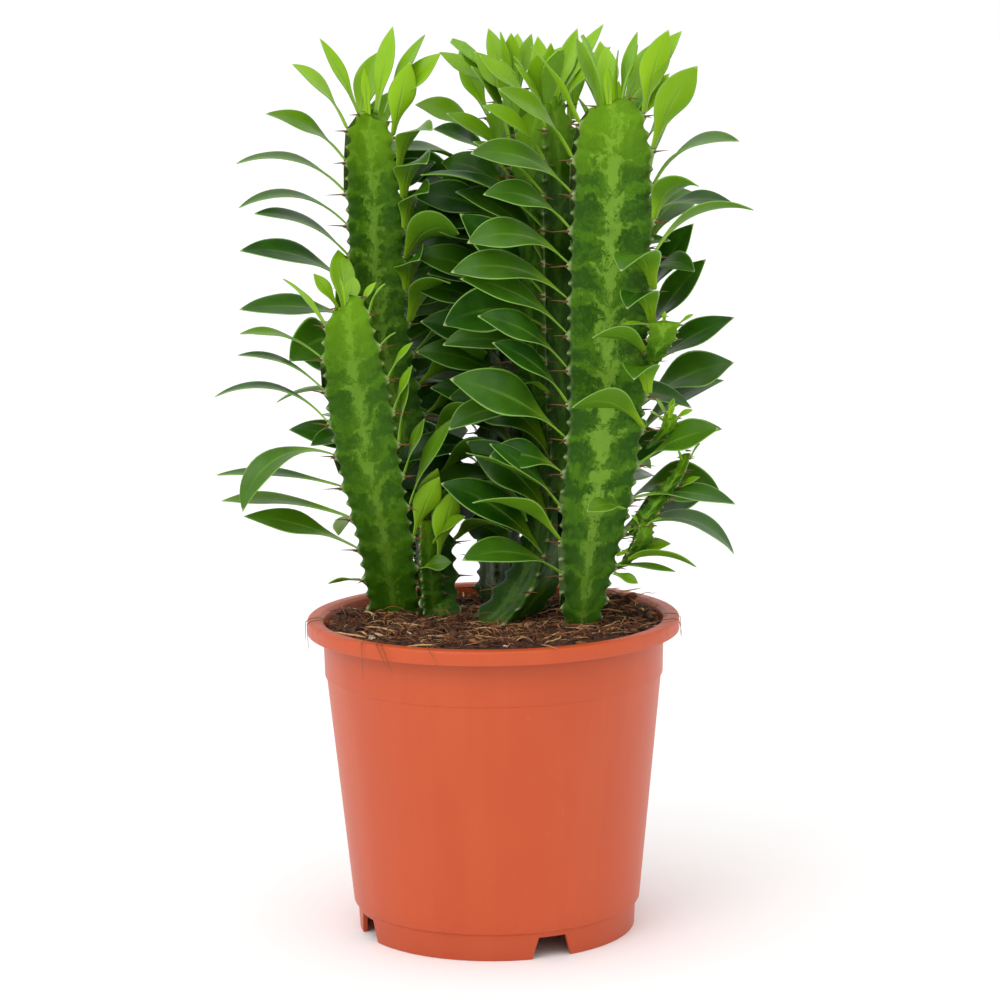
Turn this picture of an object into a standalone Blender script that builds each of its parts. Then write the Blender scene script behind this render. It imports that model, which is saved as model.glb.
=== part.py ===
"""A potted three-ribbed euphorbia: nursery pot, soil, six stems and the leaves that set its outline.

Metres, +Z up. The origin is on the pot's axis, on the surface the pot stands on. A bearing is an
angle in degrees about +Z, measured from -Y (the front) towards +X (the right).
"""
import math

import bmesh
import bpy
import numpy as np
from mathutils import Vector

MM = 0.001
GAP = 0.3                      # clearance kept between touching pieces, mm

# Pot, mm
POT_STEPS = 48
WALL = 1.5
RIM_RADIUS = 85.0
RIM_INNER_RADIUS = 79.5
RIM_TOP = 144.7
RIM_DEPTH = 6.6
NECK_RADIUS = 77.8             # body radius just under the rim
BAND_RADIUS = 76.5             # body radius just under the faint band step
BAND_HEIGHT = 118.5
SHOULDER_RADIUS = 65.9         # body radius at its bottom edge
SHOULDER_HEIGHT = 13.0
FOOT_RADIUS = 63.8
FOOT_HEIGHT = 11.8
FOOT_WALL = 2.0
BASE_UNDERSIDE = 10.6
NOTCH_BEARINGS = (22.6, 112.6, 202.6, 292.6)
NOTCH_TOP_WIDTH = 13.0
NOTCH_FOOT_WIDTH = 19.0
NOTCH_HEIGHT = 10.0
DRAIN_RADIUS = 4.5
DRAIN_CIRCLE = 46.0
CENTRE_DRAIN_RADIUS = 6.0

# Soil, mm
SOIL_TOP = 141.5
SOIL_WALL_LEVEL = 135.0        # the soil falls away towards the pot wall
SOIL_SHOULDER_RADIUS = 66.0

# Stems, mm
ROOT_DEPTH = 45.0              # how far a stem's round root end goes into the soil
ROOT_RADIUS = 8.0
BORE_SIDES = 12
TOOTH = 1.5                    # how far a leaf tooth stands out from its rib
GROOVE_ANGLE = 24.0            # degrees from a rib's crest to the foot of its flank
GROOVE_RADIUS = 0.56           # radius there, as a share of the rib's

# Leaves, mm
LEAF_THICKNESS = 1.0
PETIOLE = 0.16                 # width at the stalk, as a share of the leaf's width
LEAF_FOLD = 0.25               # how much each half of the blade rises from the midrib, per unit of width
LEAF_GRID = (6, 2)             # faces along and across the blade

# Crown, above a stem's top teeth: (height in mm, share of the rib radius)
CROWN = ((4.5, 0.72), (7.0, 0.42))

# Each stem: bearing of its first rib, height of its top teeth, tooth pitch, and its centre line as
# (x, y, z, rib radius) from the soil to the top. Ribs a, b, c follow each other by 120 degrees.
STEMS = {
    "front_left": dict(rib=-54, teeth=278.5, pitch=14.9, line=[
        (-47, 26, 142, 12.8), (-50, 14, 180, 13.6), (-54, 7, 215, 14.2), (-59, 3, 255, 14.0),
        (-62, 1, 280, 13.0)]),
    "tall_left": dict(rib=-45, teeth=364.0, pitch=14.4, line=[
        (-25, 15, 142, 9.5), (-30, 34, 174, 12.0), (-41, 45, 220, 14.5), (-51, 44, 285, 16.0),
        (-53, 40, 332, 16.0), (-53, 36, 366, 14.5)]),
    "tall_right": dict(rib=-56, teeth=367.5, pitch=15.4, line=[
        (39, -20, 142, 9.5), (41, -20, 158, 11.0), (46, -20, 200, 17.0), (50, -19, 232, 18.5),
        (53, -17, 290, 20.0), (55, -15, 330, 19.0), (56, -14, 370, 18.0)]),
    "middle": dict(rib=-2, teeth=364.0, pitch=14.8, line=[
        (10, 3, 142, 12.5), (20, 8, 155, 12.5), (27, 14, 176, 13.5), (27, 16, 204, 15.5),
        (25, 20, 286, 17.5), (26, 21, 366, 16.5)]),
    "rear_middle": dict(rib=-5, teeth=372.0, pitch=14.8, line=[
        (2, 55, 142, 11.5), (4, 55, 188, 12.5), (8, 54, 283, 15.0), (12, 50, 374, 15.0)]),
    "rear_right": dict(rib=-40, teeth=350.0, pitch=15.0, line=[
        (40, 37, 142, 9.5), (50, 41, 200, 14.0), (56, 44, 290, 15.5), (59, 43, 352, 14.5)]),
}

# Each leaf: stem, rib, tooth counted from the top, length, width, and degrees: swing off the rib's
# bearing, rise at the stalk, bend down to the tip, and turn of the blade about its own midrib.
LEAVES = [
    ("front_left", "a", 0, 29, 9, -6, 60, 25, 0),
    ("front_left", "a", 1, 39, 11, -16, 42, 50, -15),
    ("front_left", "a", 2, 43, 12, -20, 50, 50, -15),
    ("front_left", "a", 3, 56, 12, -26, 56, 80, -10),
    ("front_left", "a", 4, 54, 15, -16, 30, 105, -30),
    ("front_left", "a", 5, 55, 13, -32, 14, 18, -10),
    ("front_left", "a", 6, 55, 13, -34, 21, 24, -20),
    ("front_left", "a", 7, 53, 14, -30, 30, 26, -40),
    ("front_left", "b", 3, 34, 9, 5, 82, 6, 60),
    ("front_left", "b", 5, 45, 10, 14, 76, 30, 60),
    ("front_left", "b", 6, 32, 13, 6, 70, 20, 75),
    ("tall_left", "a", 0, 39, 12, -22, 68, 36, -20),
    ("tall_left", "a", 1, 42, 13, -28, 55, 48, -20),
    ("tall_left", "a", 2, 54, 13, -32, 50, 68, -10),
    ("tall_left", "a", 3, 53, 13, -32, 42, 62, -10),
    ("tall_left", "a", 4, 48, 14, -30, 46, 42, -25),
    ("tall_left", "a", 5, 54, 18, -32, 44, 46, -35),
    ("tall_left", "a", 6, 52, 16, -34, 28, 46, -20),
    ("tall_left", "a", 11, 50, 18, -50, 48, 48, -50),
    ("tall_left", "b", 0, 34, 13, -10, 55, 60, -20),
    ("tall_left", "b", 1, 34, 13, -14, 50, 60, -15),
    ("tall_right", "a", 0, 41, 10, -2, 64, 20, -20),
    ("tall_right", "a", 1, 47, 14, -10, 64, 44, -30),
    ("tall_right", "a", 2, 50, 17, -20, 52, 56, -45),
    ("tall_right", "a", 3, 44, 15, -16, 50, 56, -45),
    ("tall_right", "a", 4, 49, 18, -20, 48, 70, -50),
    ("tall_right", "a", 5, 55, 17, -24, 46, 60, -50),
    ("tall_right", "a", 6, 54, 15, -24, 50, 42, -50),
    ("tall_right", "a", 7, 48, 15, -18, 52, 40, -50),
    ("tall_right", "a", 8, 45, 13, -14, 60, 40, -50),
    ("tall_right", "a", 9, 57, 22, -24, 46, 34, -66),
    ("tall_right", "a", 11, 40, 11, -10, 62, 26, -40),
    ("tall_right", "b", 0, 36, 13, -8, 82, 22, 25),
    ("tall_right", "b", 1, 40, 14, -6, 74, 42, 25),
    ("tall_right", "b", 2, 43, 17, 4, 56, 66, 25),
    ("tall_right", "b", 3, 27, 13, 4, 62, 56, 30),
    ("tall_right", "b", 4, 50, 15, 10, 57, 68, 15),
    ("tall_right", "b", 9, 48, 16, -112, 56, 72, 35),
    ("tall_right", "b", 10, 37, 17, 0, 40, 26, 50),
    ("tall_right", "b", 11, 44, 14, 8, 14, 26, 25),
    ("rear_right", "b", 2, 38, 16, 4, 28, 40, 25),
    ("rear_right", "b", 5, 46, 20, -6, 68, 16, 62),
    ("rear_right", "b", 6, 48, 20, -2, 60, 14, 58),
    ("rear_right", "b", 7, 50, 18, 8, 44, 24, 45),
    ("middle", "c", 1, 38, 14, 34, 60, 40, -40),
]

# Each crown leaf: stem, bearing, distance from the crown's middle, length, width, and degrees: rise,
# bend and turn, as above.
CROWN_LEAVES = [
    ("tall_left", 60, 3.0, 37, 12, 80, 6, 60),
    ("tall_left", 150, 3.0, 40, 11, 72, 20, 0),
    ("tall_right", -70, 4.0, 33, 9, 76, 10, -40),
    ("tall_right", 70, 4.0, 28, 10, 80, 8, 60),
    ("middle", 20, 3.0, 34, 12, 72, 30, 20),
    ("rear_middle", -80, 3.0, 35, 12, 52, 16, -40),
    ("rear_right", 100, 3.0, 38, 12, 70, 24, 40),
]

COLOURS = {
    "pot": ((0.62, 0.13, 0.055), 0.45),
    "soil": ((0.045, 0.022, 0.012), 0.95),
    "stem": ((0.07, 0.20, 0.025), 0.5),
    "leaf": ((0.05, 0.17, 0.03), 0.35),
    "young_leaf": ((0.20, 0.42, 0.02), 0.4),
}


def make_collection(name):
    """Return a new collection linked to the scene."""
    collection = bpy.data.collections.new(name)
    bpy.context.scene.collection.children.link(collection)
    return collection


def make_material(name):
    """Return a Principled material with the named colour and roughness."""
    colour, roughness = COLOURS[name]
    material = bpy.data.materials.new(name)
    material.use_nodes = True
    shader = material.node_tree.nodes["Principled BSDF"]
    shader.inputs["Base Color"].default_value = (*colour, 1.0)
    shader.inputs["Roughness"].default_value = roughness
    shader.inputs["Metallic"].default_value = 0.0
    return material


def add_object(name, bm, collection, material=None):
    """Turn a bmesh given in millimetres into a smooth-shaded object in metres."""
    bmesh.ops.scale(bm, verts=bm.verts, vec=(MM, MM, MM))
    mesh = bpy.data.meshes.new(name)
    bm.to_mesh(mesh)
    bm.free()
    if material:
        mesh.materials.append(material)
        mesh.shade_smooth()
    obj = bpy.data.objects.new(name, mesh)
    collection.objects.link(obj)
    return obj


def add_cutter(name, bm, collection, target):
    """Add a hidden cutter and cut it out of the target."""
    cutter = add_object(name, bm, collection)
    cutter.hide_render = True
    cutter.display_type = "WIRE"
    cut = target.modifiers.new(name, "BOOLEAN")
    cut.operation = "DIFFERENCE"
    cut.solver = "EXACT"
    cut.object = cutter
    return cutter


def add_turned(name, profile, collection, material):
    """Turn a closed profile of (radius, height), listed down its outer side, about Z."""
    bm = bmesh.new()
    verts = [bm.verts.new((radius, 0.0, height)) for radius, height in profile]
    for start, end in zip(verts, verts[1:]):
        bm.edges.new((start, end))
    if profile[-1][0] > 0.0:
        bm.edges.new((verts[-1], verts[0]))
    obj = add_object(name, bm, collection, material)
    screw = obj.modifiers.new("turn", "SCREW")
    screw.steps = POT_STEPS
    screw.render_steps = POT_STEPS
    screw.use_merge_vertices = True
    screw.merge_threshold = 0.00005
    screw.use_smooth_shade = True
    return obj


def cylinder(radius, low, high, centre, segments):
    """Return a bmesh of an upright cylinder between two heights."""
    bm = bmesh.new()
    depth = high - low
    bmesh.ops.create_cone(bm, cap_ends=True, segments=segments, radius1=radius, radius2=radius, depth=depth)
    bmesh.ops.translate(bm, verts=bm.verts, vec=(centre[0], centre[1], (low + high) / 2))
    return bm


def direction(bearing):
    """Return the level unit vector at a bearing."""
    angle = math.radians(bearing)
    return Vector((math.sin(angle), -math.cos(angle), 0.0))


def wall_radius(height):
    """Return the body's inner radius at a height."""
    heights = [SHOULDER_HEIGHT, BAND_HEIGHT, RIM_TOP]
    radii = [SHOULDER_RADIUS, BAND_RADIUS, NECK_RADIUS]
    return float(np.interp(height, heights, radii)) - WALL


def make_pot(collection, cutters):
    """Make the thin moulded pot: lip, body, band step, foot ring, raised base, notches and drain holes."""
    lip_bottom = RIM_TOP - RIM_DEPTH
    floor = BASE_UNDERSIDE + WALL
    profile = [
        (0.0, floor),
        (wall_radius(floor) - 1.5, floor),
        (wall_radius(floor), floor + 1.5),
        (wall_radius(BAND_HEIGHT), BAND_HEIGHT),
        (wall_radius(lip_bottom), lip_bottom),
        (RIM_INNER_RADIUS - 2.0, RIM_TOP - 1.2),
        (RIM_INNER_RADIUS, RIM_TOP),
        (RIM_RADIUS - 1.0, RIM_TOP),
        (RIM_RADIUS, RIM_TOP - 1.0),
        (RIM_RADIUS, lip_bottom + 0.4),
        (RIM_RADIUS - 0.5, lip_bottom),
        (RIM_RADIUS - WALL, lip_bottom),
        (RIM_RADIUS - WALL, RIM_TOP - WALL - 0.6),
        (NECK_RADIUS + 1.2, RIM_TOP - WALL - 0.6),
        (NECK_RADIUS, lip_bottom + 1.0),
        (BAND_RADIUS + 0.7, BAND_HEIGHT),
        (BAND_RADIUS, BAND_HEIGHT - 0.6),
        (SHOULDER_RADIUS, SHOULDER_HEIGHT),
        (SHOULDER_RADIUS - 0.8, SHOULDER_HEIGHT - 1.0),
        (FOOT_RADIUS + 0.3, FOOT_HEIGHT),
        (FOOT_RADIUS - 0.4, 0.0),
        (FOOT_RADIUS - FOOT_WALL - 0.4, 0.0),
        (FOOT_RADIUS - FOOT_WALL, BASE_UNDERSIDE),
        (0.0, BASE_UNDERSIDE),
    ]
    pot = add_turned("pot", profile, collection, make_material("pot"))
    for index, bearing in enumerate(NOTCH_BEARINGS):
        add_cutter(f"notch_cutter_{index}", notch(bearing), cutters, pot)
        centre = direction(bearing) * DRAIN_CIRCLE
        hole = cylinder(DRAIN_RADIUS, BASE_UNDERSIDE - 3.0, floor + 3.0, centre, 16)
        add_cutter(f"drain_cutter_{index}", hole, cutters, pot)
    hole = cylinder(CENTRE_DRAIN_RADIUS, BASE_UNDERSIDE - 3.0, floor + 3.0, (0.0, 0.0), 16)
    add_cutter("centre_drain_cutter", hole, cutters, pot)
    return pot


def notch(bearing):
    """Return a tapered block that cuts one drain notch through the foot ring."""
    depth = 3.0
    bm = bmesh.new()
    bmesh.ops.create_cube(bm, size=1.0)
    for vert in bm.verts:
        width = NOTCH_TOP_WIDTH if vert.co.z > 0 else NOTCH_FOOT_WIDTH + 0.6 * depth
        height = NOTCH_HEIGHT if vert.co.z > 0 else -depth
        out = FOOT_RADIUS + vert.co.y * 14.0
        side = direction(bearing - 90.0) * (vert.co.x * width)
        vert.co = direction(bearing) * out + side + Vector((0.0, 0.0, height))
    return bm


def make_soil(collection, cutters):
    """Make the soil: it fills the pot to a low mound, with a bore for each stem's root end."""
    floor = BASE_UNDERSIDE + WALL + GAP
    profile = [
        (0.0, SOIL_TOP),
        (SOIL_SHOULDER_RADIUS, SOIL_TOP),
        (SOIL_SHOULDER_RADIUS + 5.0, SOIL_WALL_LEVEL + 1.5),
        (wall_radius(SOIL_WALL_LEVEL) - GAP, SOIL_WALL_LEVEL),
        (wall_radius(BAND_HEIGHT) - GAP, BAND_HEIGHT),
        (wall_radius(floor) - GAP, floor + 1.6),
        (wall_radius(floor) - GAP - 1.6, floor),
        (0.0, floor),
    ]
    soil = add_turned("soil", profile, collection, make_material("soil"))
    for name, stem in STEMS.items():
        x, y = stem["line"][0][:2]
        bore_radius = (ROOT_RADIUS + GAP) / math.cos(math.pi / BORE_SIDES)
        bore = cylinder(bore_radius, SOIL_TOP - ROOT_DEPTH - GAP, SOIL_TOP + 5.0, (x, y), BORE_SIDES)
        add_cutter(f"{name}_bore_cutter", bore, cutters, soil)
    return soil


def stem_at(stem, height):
    """Return the stem's centre and rib radius at a height, on a smooth curve through its line."""
    line = np.array(stem["line"], float)
    slopes = np.gradient(line, line[:, 2], axis=0)
    index = int(np.clip(np.searchsorted(line[:, 2], height) - 1, 0, len(line) - 2))
    span = line[index + 1, 2] - line[index, 2]
    t = min(max((height - line[index, 2]) / span, 0.0), 1.0)
    low = line[index] * (1 + 2 * t) * (1 - t) ** 2 + slopes[index] * span * t * (1 - t) ** 2
    high = line[index + 1] * t * t * (3 - 2 * t) + slopes[index + 1] * span * t * t * (t - 1)
    x, y, _, radius = low + high
    return Vector((x, y, height)), radius


def rib_bearing(stem, rib):
    """Return the bearing of rib a, b or c."""
    return stem["rib"] + 120.0 * "abc".index(rib)


def stem_ring(stem, centre, radius, tooth):
    """Return nine points round a stem: each rib's crest and the feet of its two flanks."""
    points = []
    for rib in "abc":
        bearing = rib_bearing(stem, rib)
        points.append(centre + direction(bearing - GROOVE_ANGLE) * radius * GROOVE_RADIUS)
        points.append(centre + direction(bearing) * (radius + tooth))
        points.append(centre + direction(bearing + GROOVE_ANGLE) * radius * GROOVE_RADIUS)
    return points


def round_ring(stem, centre, radius):
    """Return nine points on a circle, in step with a stem ring's points."""
    turns = [rib_bearing(stem, rib) + step for rib in "abc" for step in (-40.0, 0.0, 40.0)]
    return [centre + direction(turn) * radius for turn in turns]


def loft(rings):
    """Return a closed bmesh over rings of equal point counts, lowest first, with flat ends."""
    bm = bmesh.new()
    loops = [[bm.verts.new(point) for point in ring] for ring in rings]
    count = len(loops[0])
    for lower, upper in zip(loops, loops[1:]):
        for i in range(count):
            j = (i + 1) % count
            bm.faces.new((lower[i], lower[j], upper[j], upper[i]))
    bm.faces.new(list(reversed(loops[0])))
    bm.faces.new(loops[-1])
    return bm


def make_stem(name, stem, collection, material):
    """Make one stem: round root end, toothed ribs and a blunt crown."""
    foot, foot_radius = stem_at(stem, stem["line"][0][2])
    foot.z = SOIL_TOP + GAP
    root = Vector((foot.x, foot.y, SOIL_TOP - ROOT_DEPTH))
    rings = [
        round_ring(stem, root, ROOT_RADIUS * 0.6),
        round_ring(stem, root + Vector((0.0, 0.0, 4.0)), ROOT_RADIUS),
        round_ring(stem, foot, ROOT_RADIUS),
        stem_ring(stem, foot, foot_radius, 0.0),
    ]
    half = stem["pitch"] / 2
    steps = int((stem["teeth"] - SOIL_TOP - 4.0) / half)
    for step in range(steps, -1, -1):
        height = stem["teeth"] - step * half
        centre, radius = stem_at(stem, height)
        rings.append(stem_ring(stem, centre, radius, 0.0 if step % 2 else TOOTH))
    top, radius = stem_at(stem, stem["teeth"])
    for rise, share in CROWN:
        rings.append(stem_ring(stem, top + Vector((0.0, 0.0, rise)), radius * share, 0.0))
    return add_object(f"{name}_stem", loft(rings), collection, material)


def half_width(along, width):
    """Return a leaf's half width: a narrow stalk, widest two thirds of the way, then a blunt tip."""
    blade = 3.2 * along ** 1.5 * (1.03 - along) ** 0.75
    return width / 2 * (PETIOLE * (1 - along) + blade)


def make_leaf(name, base, bearing, length, width, rise, bend, turn, collection, material):
    """Make one leaf: a spoon-shaped blade bent along a circular arc, with a narrow stalk end."""
    ahead = direction(bearing)
    across = direction(bearing + 90.0)
    start, fall = math.radians(rise), math.radians(-bend)
    bm = bmesh.new()
    bmesh.ops.create_grid(bm, x_segments=LEAF_GRID[0], y_segments=LEAF_GRID[1], size=0.5)
    for vert in bm.verts:
        along = vert.co.x + 0.5
        side = vert.co.y * 2.0
        slope = start + fall * along
        reach = length * (math.sin(slope) - math.sin(start)) / fall
        climb = length * (math.cos(start) - math.cos(slope)) / fall
        normal = Vector((0.0, 0.0, math.cos(slope))) - ahead * math.sin(slope)
        roll = math.radians(turn) * along
        half = half_width(along, width)
        wing = across * math.cos(roll) + normal * math.sin(roll)
        lift = (normal * math.cos(roll) - across * math.sin(roll)) * LEAF_FOLD * half * abs(side)
        vert.co = base + ahead * reach + Vector((0.0, 0.0, climb)) + wing * side * half + lift
    obj = add_object(name, bm, collection, material)
    shell = obj.modifiers.new("thickness", "SOLIDIFY")
    shell.thickness = LEAF_THICKNESS * MM
    shell.offset = 0.0
    return obj


def make_leaves(collection):
    """Make the leaves on the rib teeth and round the crowns."""
    leaf = make_material("leaf")
    young = make_material("young_leaf")
    half_thickness = LEAF_THICKNESS / 2
    for name, rib, tooth, length, width, swing, rise, bend, turn in LEAVES:
        stem = STEMS[name]
        centre, radius = stem_at(stem, stem["teeth"] - tooth * stem["pitch"])
        bearing = rib_bearing(stem, rib)
        slant = abs(math.sin(math.radians(swing))) * width / 2 * PETIOLE
        stand_off = TOOTH + GAP + half_thickness * math.sin(math.radians(rise)) + slant
        base = centre + direction(bearing) * (radius + stand_off)
        make_leaf(f"{name}_leaf_{rib}{tooth:02d}", base, bearing + swing, length, width, rise, bend, turn,
                  collection, young if tooth == 0 else leaf)
    for index, (name, bearing, distance, length, width, rise, bend, turn) in enumerate(CROWN_LEAVES):
        stem = STEMS[name]
        centre, _ = stem_at(stem, stem["teeth"])
        lift = CROWN[-1][0] + GAP + half_thickness * math.cos(math.radians(rise))
        base = centre + direction(bearing) * distance + Vector((0.0, 0.0, lift))
        make_leaf(f"{name}_crown_leaf_{index}", base, bearing, length, width, rise, bend, turn,
                  collection, young)


def main():
    for obj in list(bpy.data.objects):
        bpy.data.objects.remove(obj, do_unlink=True)
    parts = make_collection("potted_euphorbia")
    cutters = make_collection("cutters")
    make_pot(parts, cutters)
    make_soil(parts, cutters)
    green = make_material("stem")
    for name, stem in STEMS.items():
        make_stem(name, stem, parts, green)
    make_leaves(parts)


main()
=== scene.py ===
import math
import random

import bmesh
import bpy
from mathutils import Matrix, Quaternion, Vector, noise
from mathutils.bvhtree import BVHTree


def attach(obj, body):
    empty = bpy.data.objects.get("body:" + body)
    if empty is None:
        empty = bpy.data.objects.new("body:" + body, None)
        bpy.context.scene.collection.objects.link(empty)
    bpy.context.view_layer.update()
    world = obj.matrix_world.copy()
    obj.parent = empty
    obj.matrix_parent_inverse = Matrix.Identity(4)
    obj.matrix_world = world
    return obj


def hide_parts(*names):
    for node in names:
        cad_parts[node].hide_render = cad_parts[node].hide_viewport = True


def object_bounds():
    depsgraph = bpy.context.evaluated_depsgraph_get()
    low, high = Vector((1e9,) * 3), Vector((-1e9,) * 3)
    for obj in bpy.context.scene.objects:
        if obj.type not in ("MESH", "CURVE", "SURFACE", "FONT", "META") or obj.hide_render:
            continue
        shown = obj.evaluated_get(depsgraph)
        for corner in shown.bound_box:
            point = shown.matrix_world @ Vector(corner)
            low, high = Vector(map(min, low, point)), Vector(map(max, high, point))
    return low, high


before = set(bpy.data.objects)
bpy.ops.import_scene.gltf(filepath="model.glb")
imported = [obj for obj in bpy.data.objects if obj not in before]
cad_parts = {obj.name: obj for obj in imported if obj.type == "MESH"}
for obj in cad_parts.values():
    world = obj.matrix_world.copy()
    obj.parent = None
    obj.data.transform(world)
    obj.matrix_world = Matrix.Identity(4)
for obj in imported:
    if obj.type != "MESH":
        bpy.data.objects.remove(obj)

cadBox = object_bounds()
mm = 0.001                       # the shapes below are worked out in millimetres
up = Vector((0.0, 0.0, 1.0))


class Wire:
    # one shader socket; sums written with it add Math nodes

    def __init__(self, tree, socket=None):
        self.tree = tree
        self.socket = socket

    def node(self, kind, settings=None, inputs=None, output=0):
        made = self.tree.nodes.new("ShaderNode" + kind)
        for name, value in (settings or {}).items():
            if name == "stops":
                self.setStops(made.color_ramp, value)
            else:
                setattr(made, name, value)
        for name, value in (inputs or {}).items():
            if isinstance(value, Wire):
                self.tree.links.new(value.socket, made.inputs[name])
            else:
                made.inputs[name].default_value = value
        return Wire(self.tree, made.outputs[output] if made.outputs else None)

    def setStops(self, ramp, stops):
        while len(ramp.elements) < len(stops):
            ramp.elements.new(1.0)
        for element, (place, colour) in zip(ramp.elements, stops):
            element.position = place
            element.color = colour

    def math(self, operation, *values):
        return self.node("Math", {"operation": operation}, dict(enumerate(values)))

    def __add__(self, other):
        return self.math("ADD", self, other)

    def __sub__(self, other):
        return self.math("SUBTRACT", self, other)

    def __rsub__(self, other):
        return self.math("SUBTRACT", other, self)

    def __mul__(self, other):
        return self.math("MULTIPLY", self, other)

    __radd__ = __add__
    __rmul__ = __mul__

    def distanceTo(self, spacing):
        return self.math("PINGPONG", self, spacing)

    def minimum(self, other):
        return self.math("MINIMUM", self, other)

    def step(self, low, high):
        # 0 below low and 1 above high, smooth between; low may be the larger
        return self.node("MapRange", {"interpolation_type": "SMOOTHSTEP"},
                         {"Value": self, "From Min": low, "From Max": high})

    def mix(self, colourA, colourB, blend="MIX"):
        # a colour Mix has its factor at 0, its colours at 6 and 7, and its result at 2
        return self.node("Mix", {"data_type": "RGBA", "blend_type": blend},
                         {0: self, 6: colourA, 7: colourB}, 2)

    def noise(self, scale, detail=3.0, roughness=0.55, stretch=(1.0, 1.0, 1.0), seed=0.0):
        place = self.node("Mapping", None,
                          {"Vector": self, "Scale": stretch, "Location": (seed, seed, seed)})
        return place.node("TexNoise", None,
                          {"Vector": place, "Scale": scale, "Detail": detail, "Roughness": roughness})


def colour(red, green, blue):
    # screen values 0 to 255 become a linear colour
    def linear(value):
        value /= 255.0
        return value / 12.92 if value <= 0.04045 else ((value + 0.055) / 1.055) ** 2.4
    return (linear(red), linear(green), linear(blue), 1.0)


def startMaterial(name):
    material = bpy.data.materials.new(name)
    material.use_nodes = True
    material.node_tree.nodes.clear()
    wire = Wire(material.node_tree)
    return material, wire, wire.node("TexCoord", output="Object")


def endMaterial(wire, baseColour, roughness, height=None, bumpDepth=0.3, **otherInputs):
    inputs = {"Base Color": baseColour, "Roughness": roughness}
    if height is not None:
        inputs["Normal"] = wire.node("Bump", None, {"Height": height, "Distance": bumpDepth * mm})
    for name, value in otherInputs.items():
        inputs[name.replace("_", " ")] = value
    shader = wire.node("BsdfPrincipled", None, inputs)
    wire.node("OutputMaterial", None, {"Surface": shader})


def attribute(wire, name):
    return wire.node("Attribute", {"attribute_name": name}, None, "Fac")


def direction(bearing):
    # level unit vector; 0 faces the front (-Y), 90 faces right (+X)
    angle = math.radians(bearing)
    return Vector((math.sin(angle), -math.cos(angle), 0.0))


def smoothStep(low, high, value):
    t = min(max((value - low) / (high - low), 0.0), 1.0)
    return t * t * (3.0 - 2.0 * t)


def addPiece(name, bm, materials, nodes=()):
    # a bmesh in millimetres becomes an object in metres on the one body
    bmesh.ops.scale(bm, vec=(mm, mm, mm), verts=bm.verts)
    mesh = bpy.data.meshes.new(name)
    bm.to_mesh(mesh)
    bm.free()
    for material in materials:
        mesh.materials.append(material)
    mesh.shade_smooth()
    obj = bpy.data.objects.new(name, mesh)
    bpy.context.scene.collection.objects.link(obj)
    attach(obj, "root")
    if nodes:
        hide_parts(*nodes)
    return obj


def addTube(bm, points, radii, sides, values=None):
    # a closed tube along the points, from a grid wrapped round them; values are {layer: number}
    steps = len(points) - 1
    made = bmesh.ops.create_grid(bm, x_segments=sides, y_segments=steps, size=0.5)["verts"]
    ahead = [(points[min(i + 1, steps)] - points[max(i - 1, 0)]).normalized() for i in range(steps + 1)]
    side = ahead[0].orthogonal().normalized()
    frames = []
    for tangent in ahead:
        side = (side - tangent * side.dot(tangent)).normalized()
        frames.append((side, tangent.cross(side)))
    for vert in made:
        index = round((vert.co.y + 0.5) * steps)
        turn = (vert.co.x + 0.5) * math.tau
        across, over = frames[index]
        vert.co = points[index] + (across * math.cos(turn) + over * math.sin(turn)) * radii[index]
        for layer, value in (values or {}).items():
            vert[layer] = value
    return made


pot = dict(rimRadius=85.0, rimInner=79.5, rimTop=144.7, rimDepth=6.6, neck=77.8, band=76.5,
           bandHeight=118.5, shoulder=65.9, shoulderHeight=13.0, foot=63.8, footHeight=11.8,
           footWall=2.0, underside=10.6, wall=1.5, notches=(22.6, 112.6, 202.6, 292.6), notchTop=13.0,
           notchFoot=19.0, notchHeight=10.0, drainCircle=46.0, drain=4.5, centreDrain=6.0, steps=192)


def wallRadius(height):
    # inner radius of the body at a height
    if height < pot["bandHeight"]:
        share = (height - pot["shoulderHeight"]) / (pot["bandHeight"] - pot["shoulderHeight"])
        return pot["shoulder"] + (pot["band"] - pot["shoulder"]) * share - pot["wall"]
    share = (height - pot["bandHeight"]) / (pot["rimTop"] - pot["bandHeight"])
    return pot["band"] + (pot["neck"] - pot["band"]) * share - pot["wall"]


def potProfile():
    # (radius, height, corner rounding) down the outside and back up the inside
    lip = pot["rimTop"] - pot["rimDepth"]
    floor = pot["underside"] + pot["wall"]
    rim, top, band, shoulder = pot["rimRadius"], pot["rimTop"], pot["band"], pot["shoulder"]
    return [
        (0.0, floor, 0.0),
        (wallRadius(floor), floor, 1.5),
        (wallRadius(pot["bandHeight"]), pot["bandHeight"], 0.0),
        (wallRadius(lip), lip, 0.5),
        (pot["rimInner"] - 2.0, top - 1.2, 0.5),
        (pot["rimInner"], top, 0.4),
        (rim - 0.1, top, 1.3),
        (rim, lip, 0.5),
        (rim - pot["wall"], lip, 0.4),
        (rim - pot["wall"], top - pot["wall"] - 0.6, 0.4),
        (pot["neck"] + 1.2, top - pot["wall"] - 0.6, 0.5),
        (pot["neck"], lip + 1.0, 0.3),
        (band + 0.75, pot["bandHeight"] + 0.1, 0.25),
        (band, pot["bandHeight"] - 0.5, 0.25),
        (shoulder, pot["shoulderHeight"], 0.5),
        (pot["foot"] + 0.3, pot["footHeight"], 0.3),
        (pot["foot"] - 0.4, 0.0, 0.5),
        (pot["foot"] - pot["footWall"] - 0.4, 0.0, 0.5),
        (pot["foot"] - pot["footWall"], pot["underside"], 0.4),
        (0.0, pot["underside"], 0.0),
    ]


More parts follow.
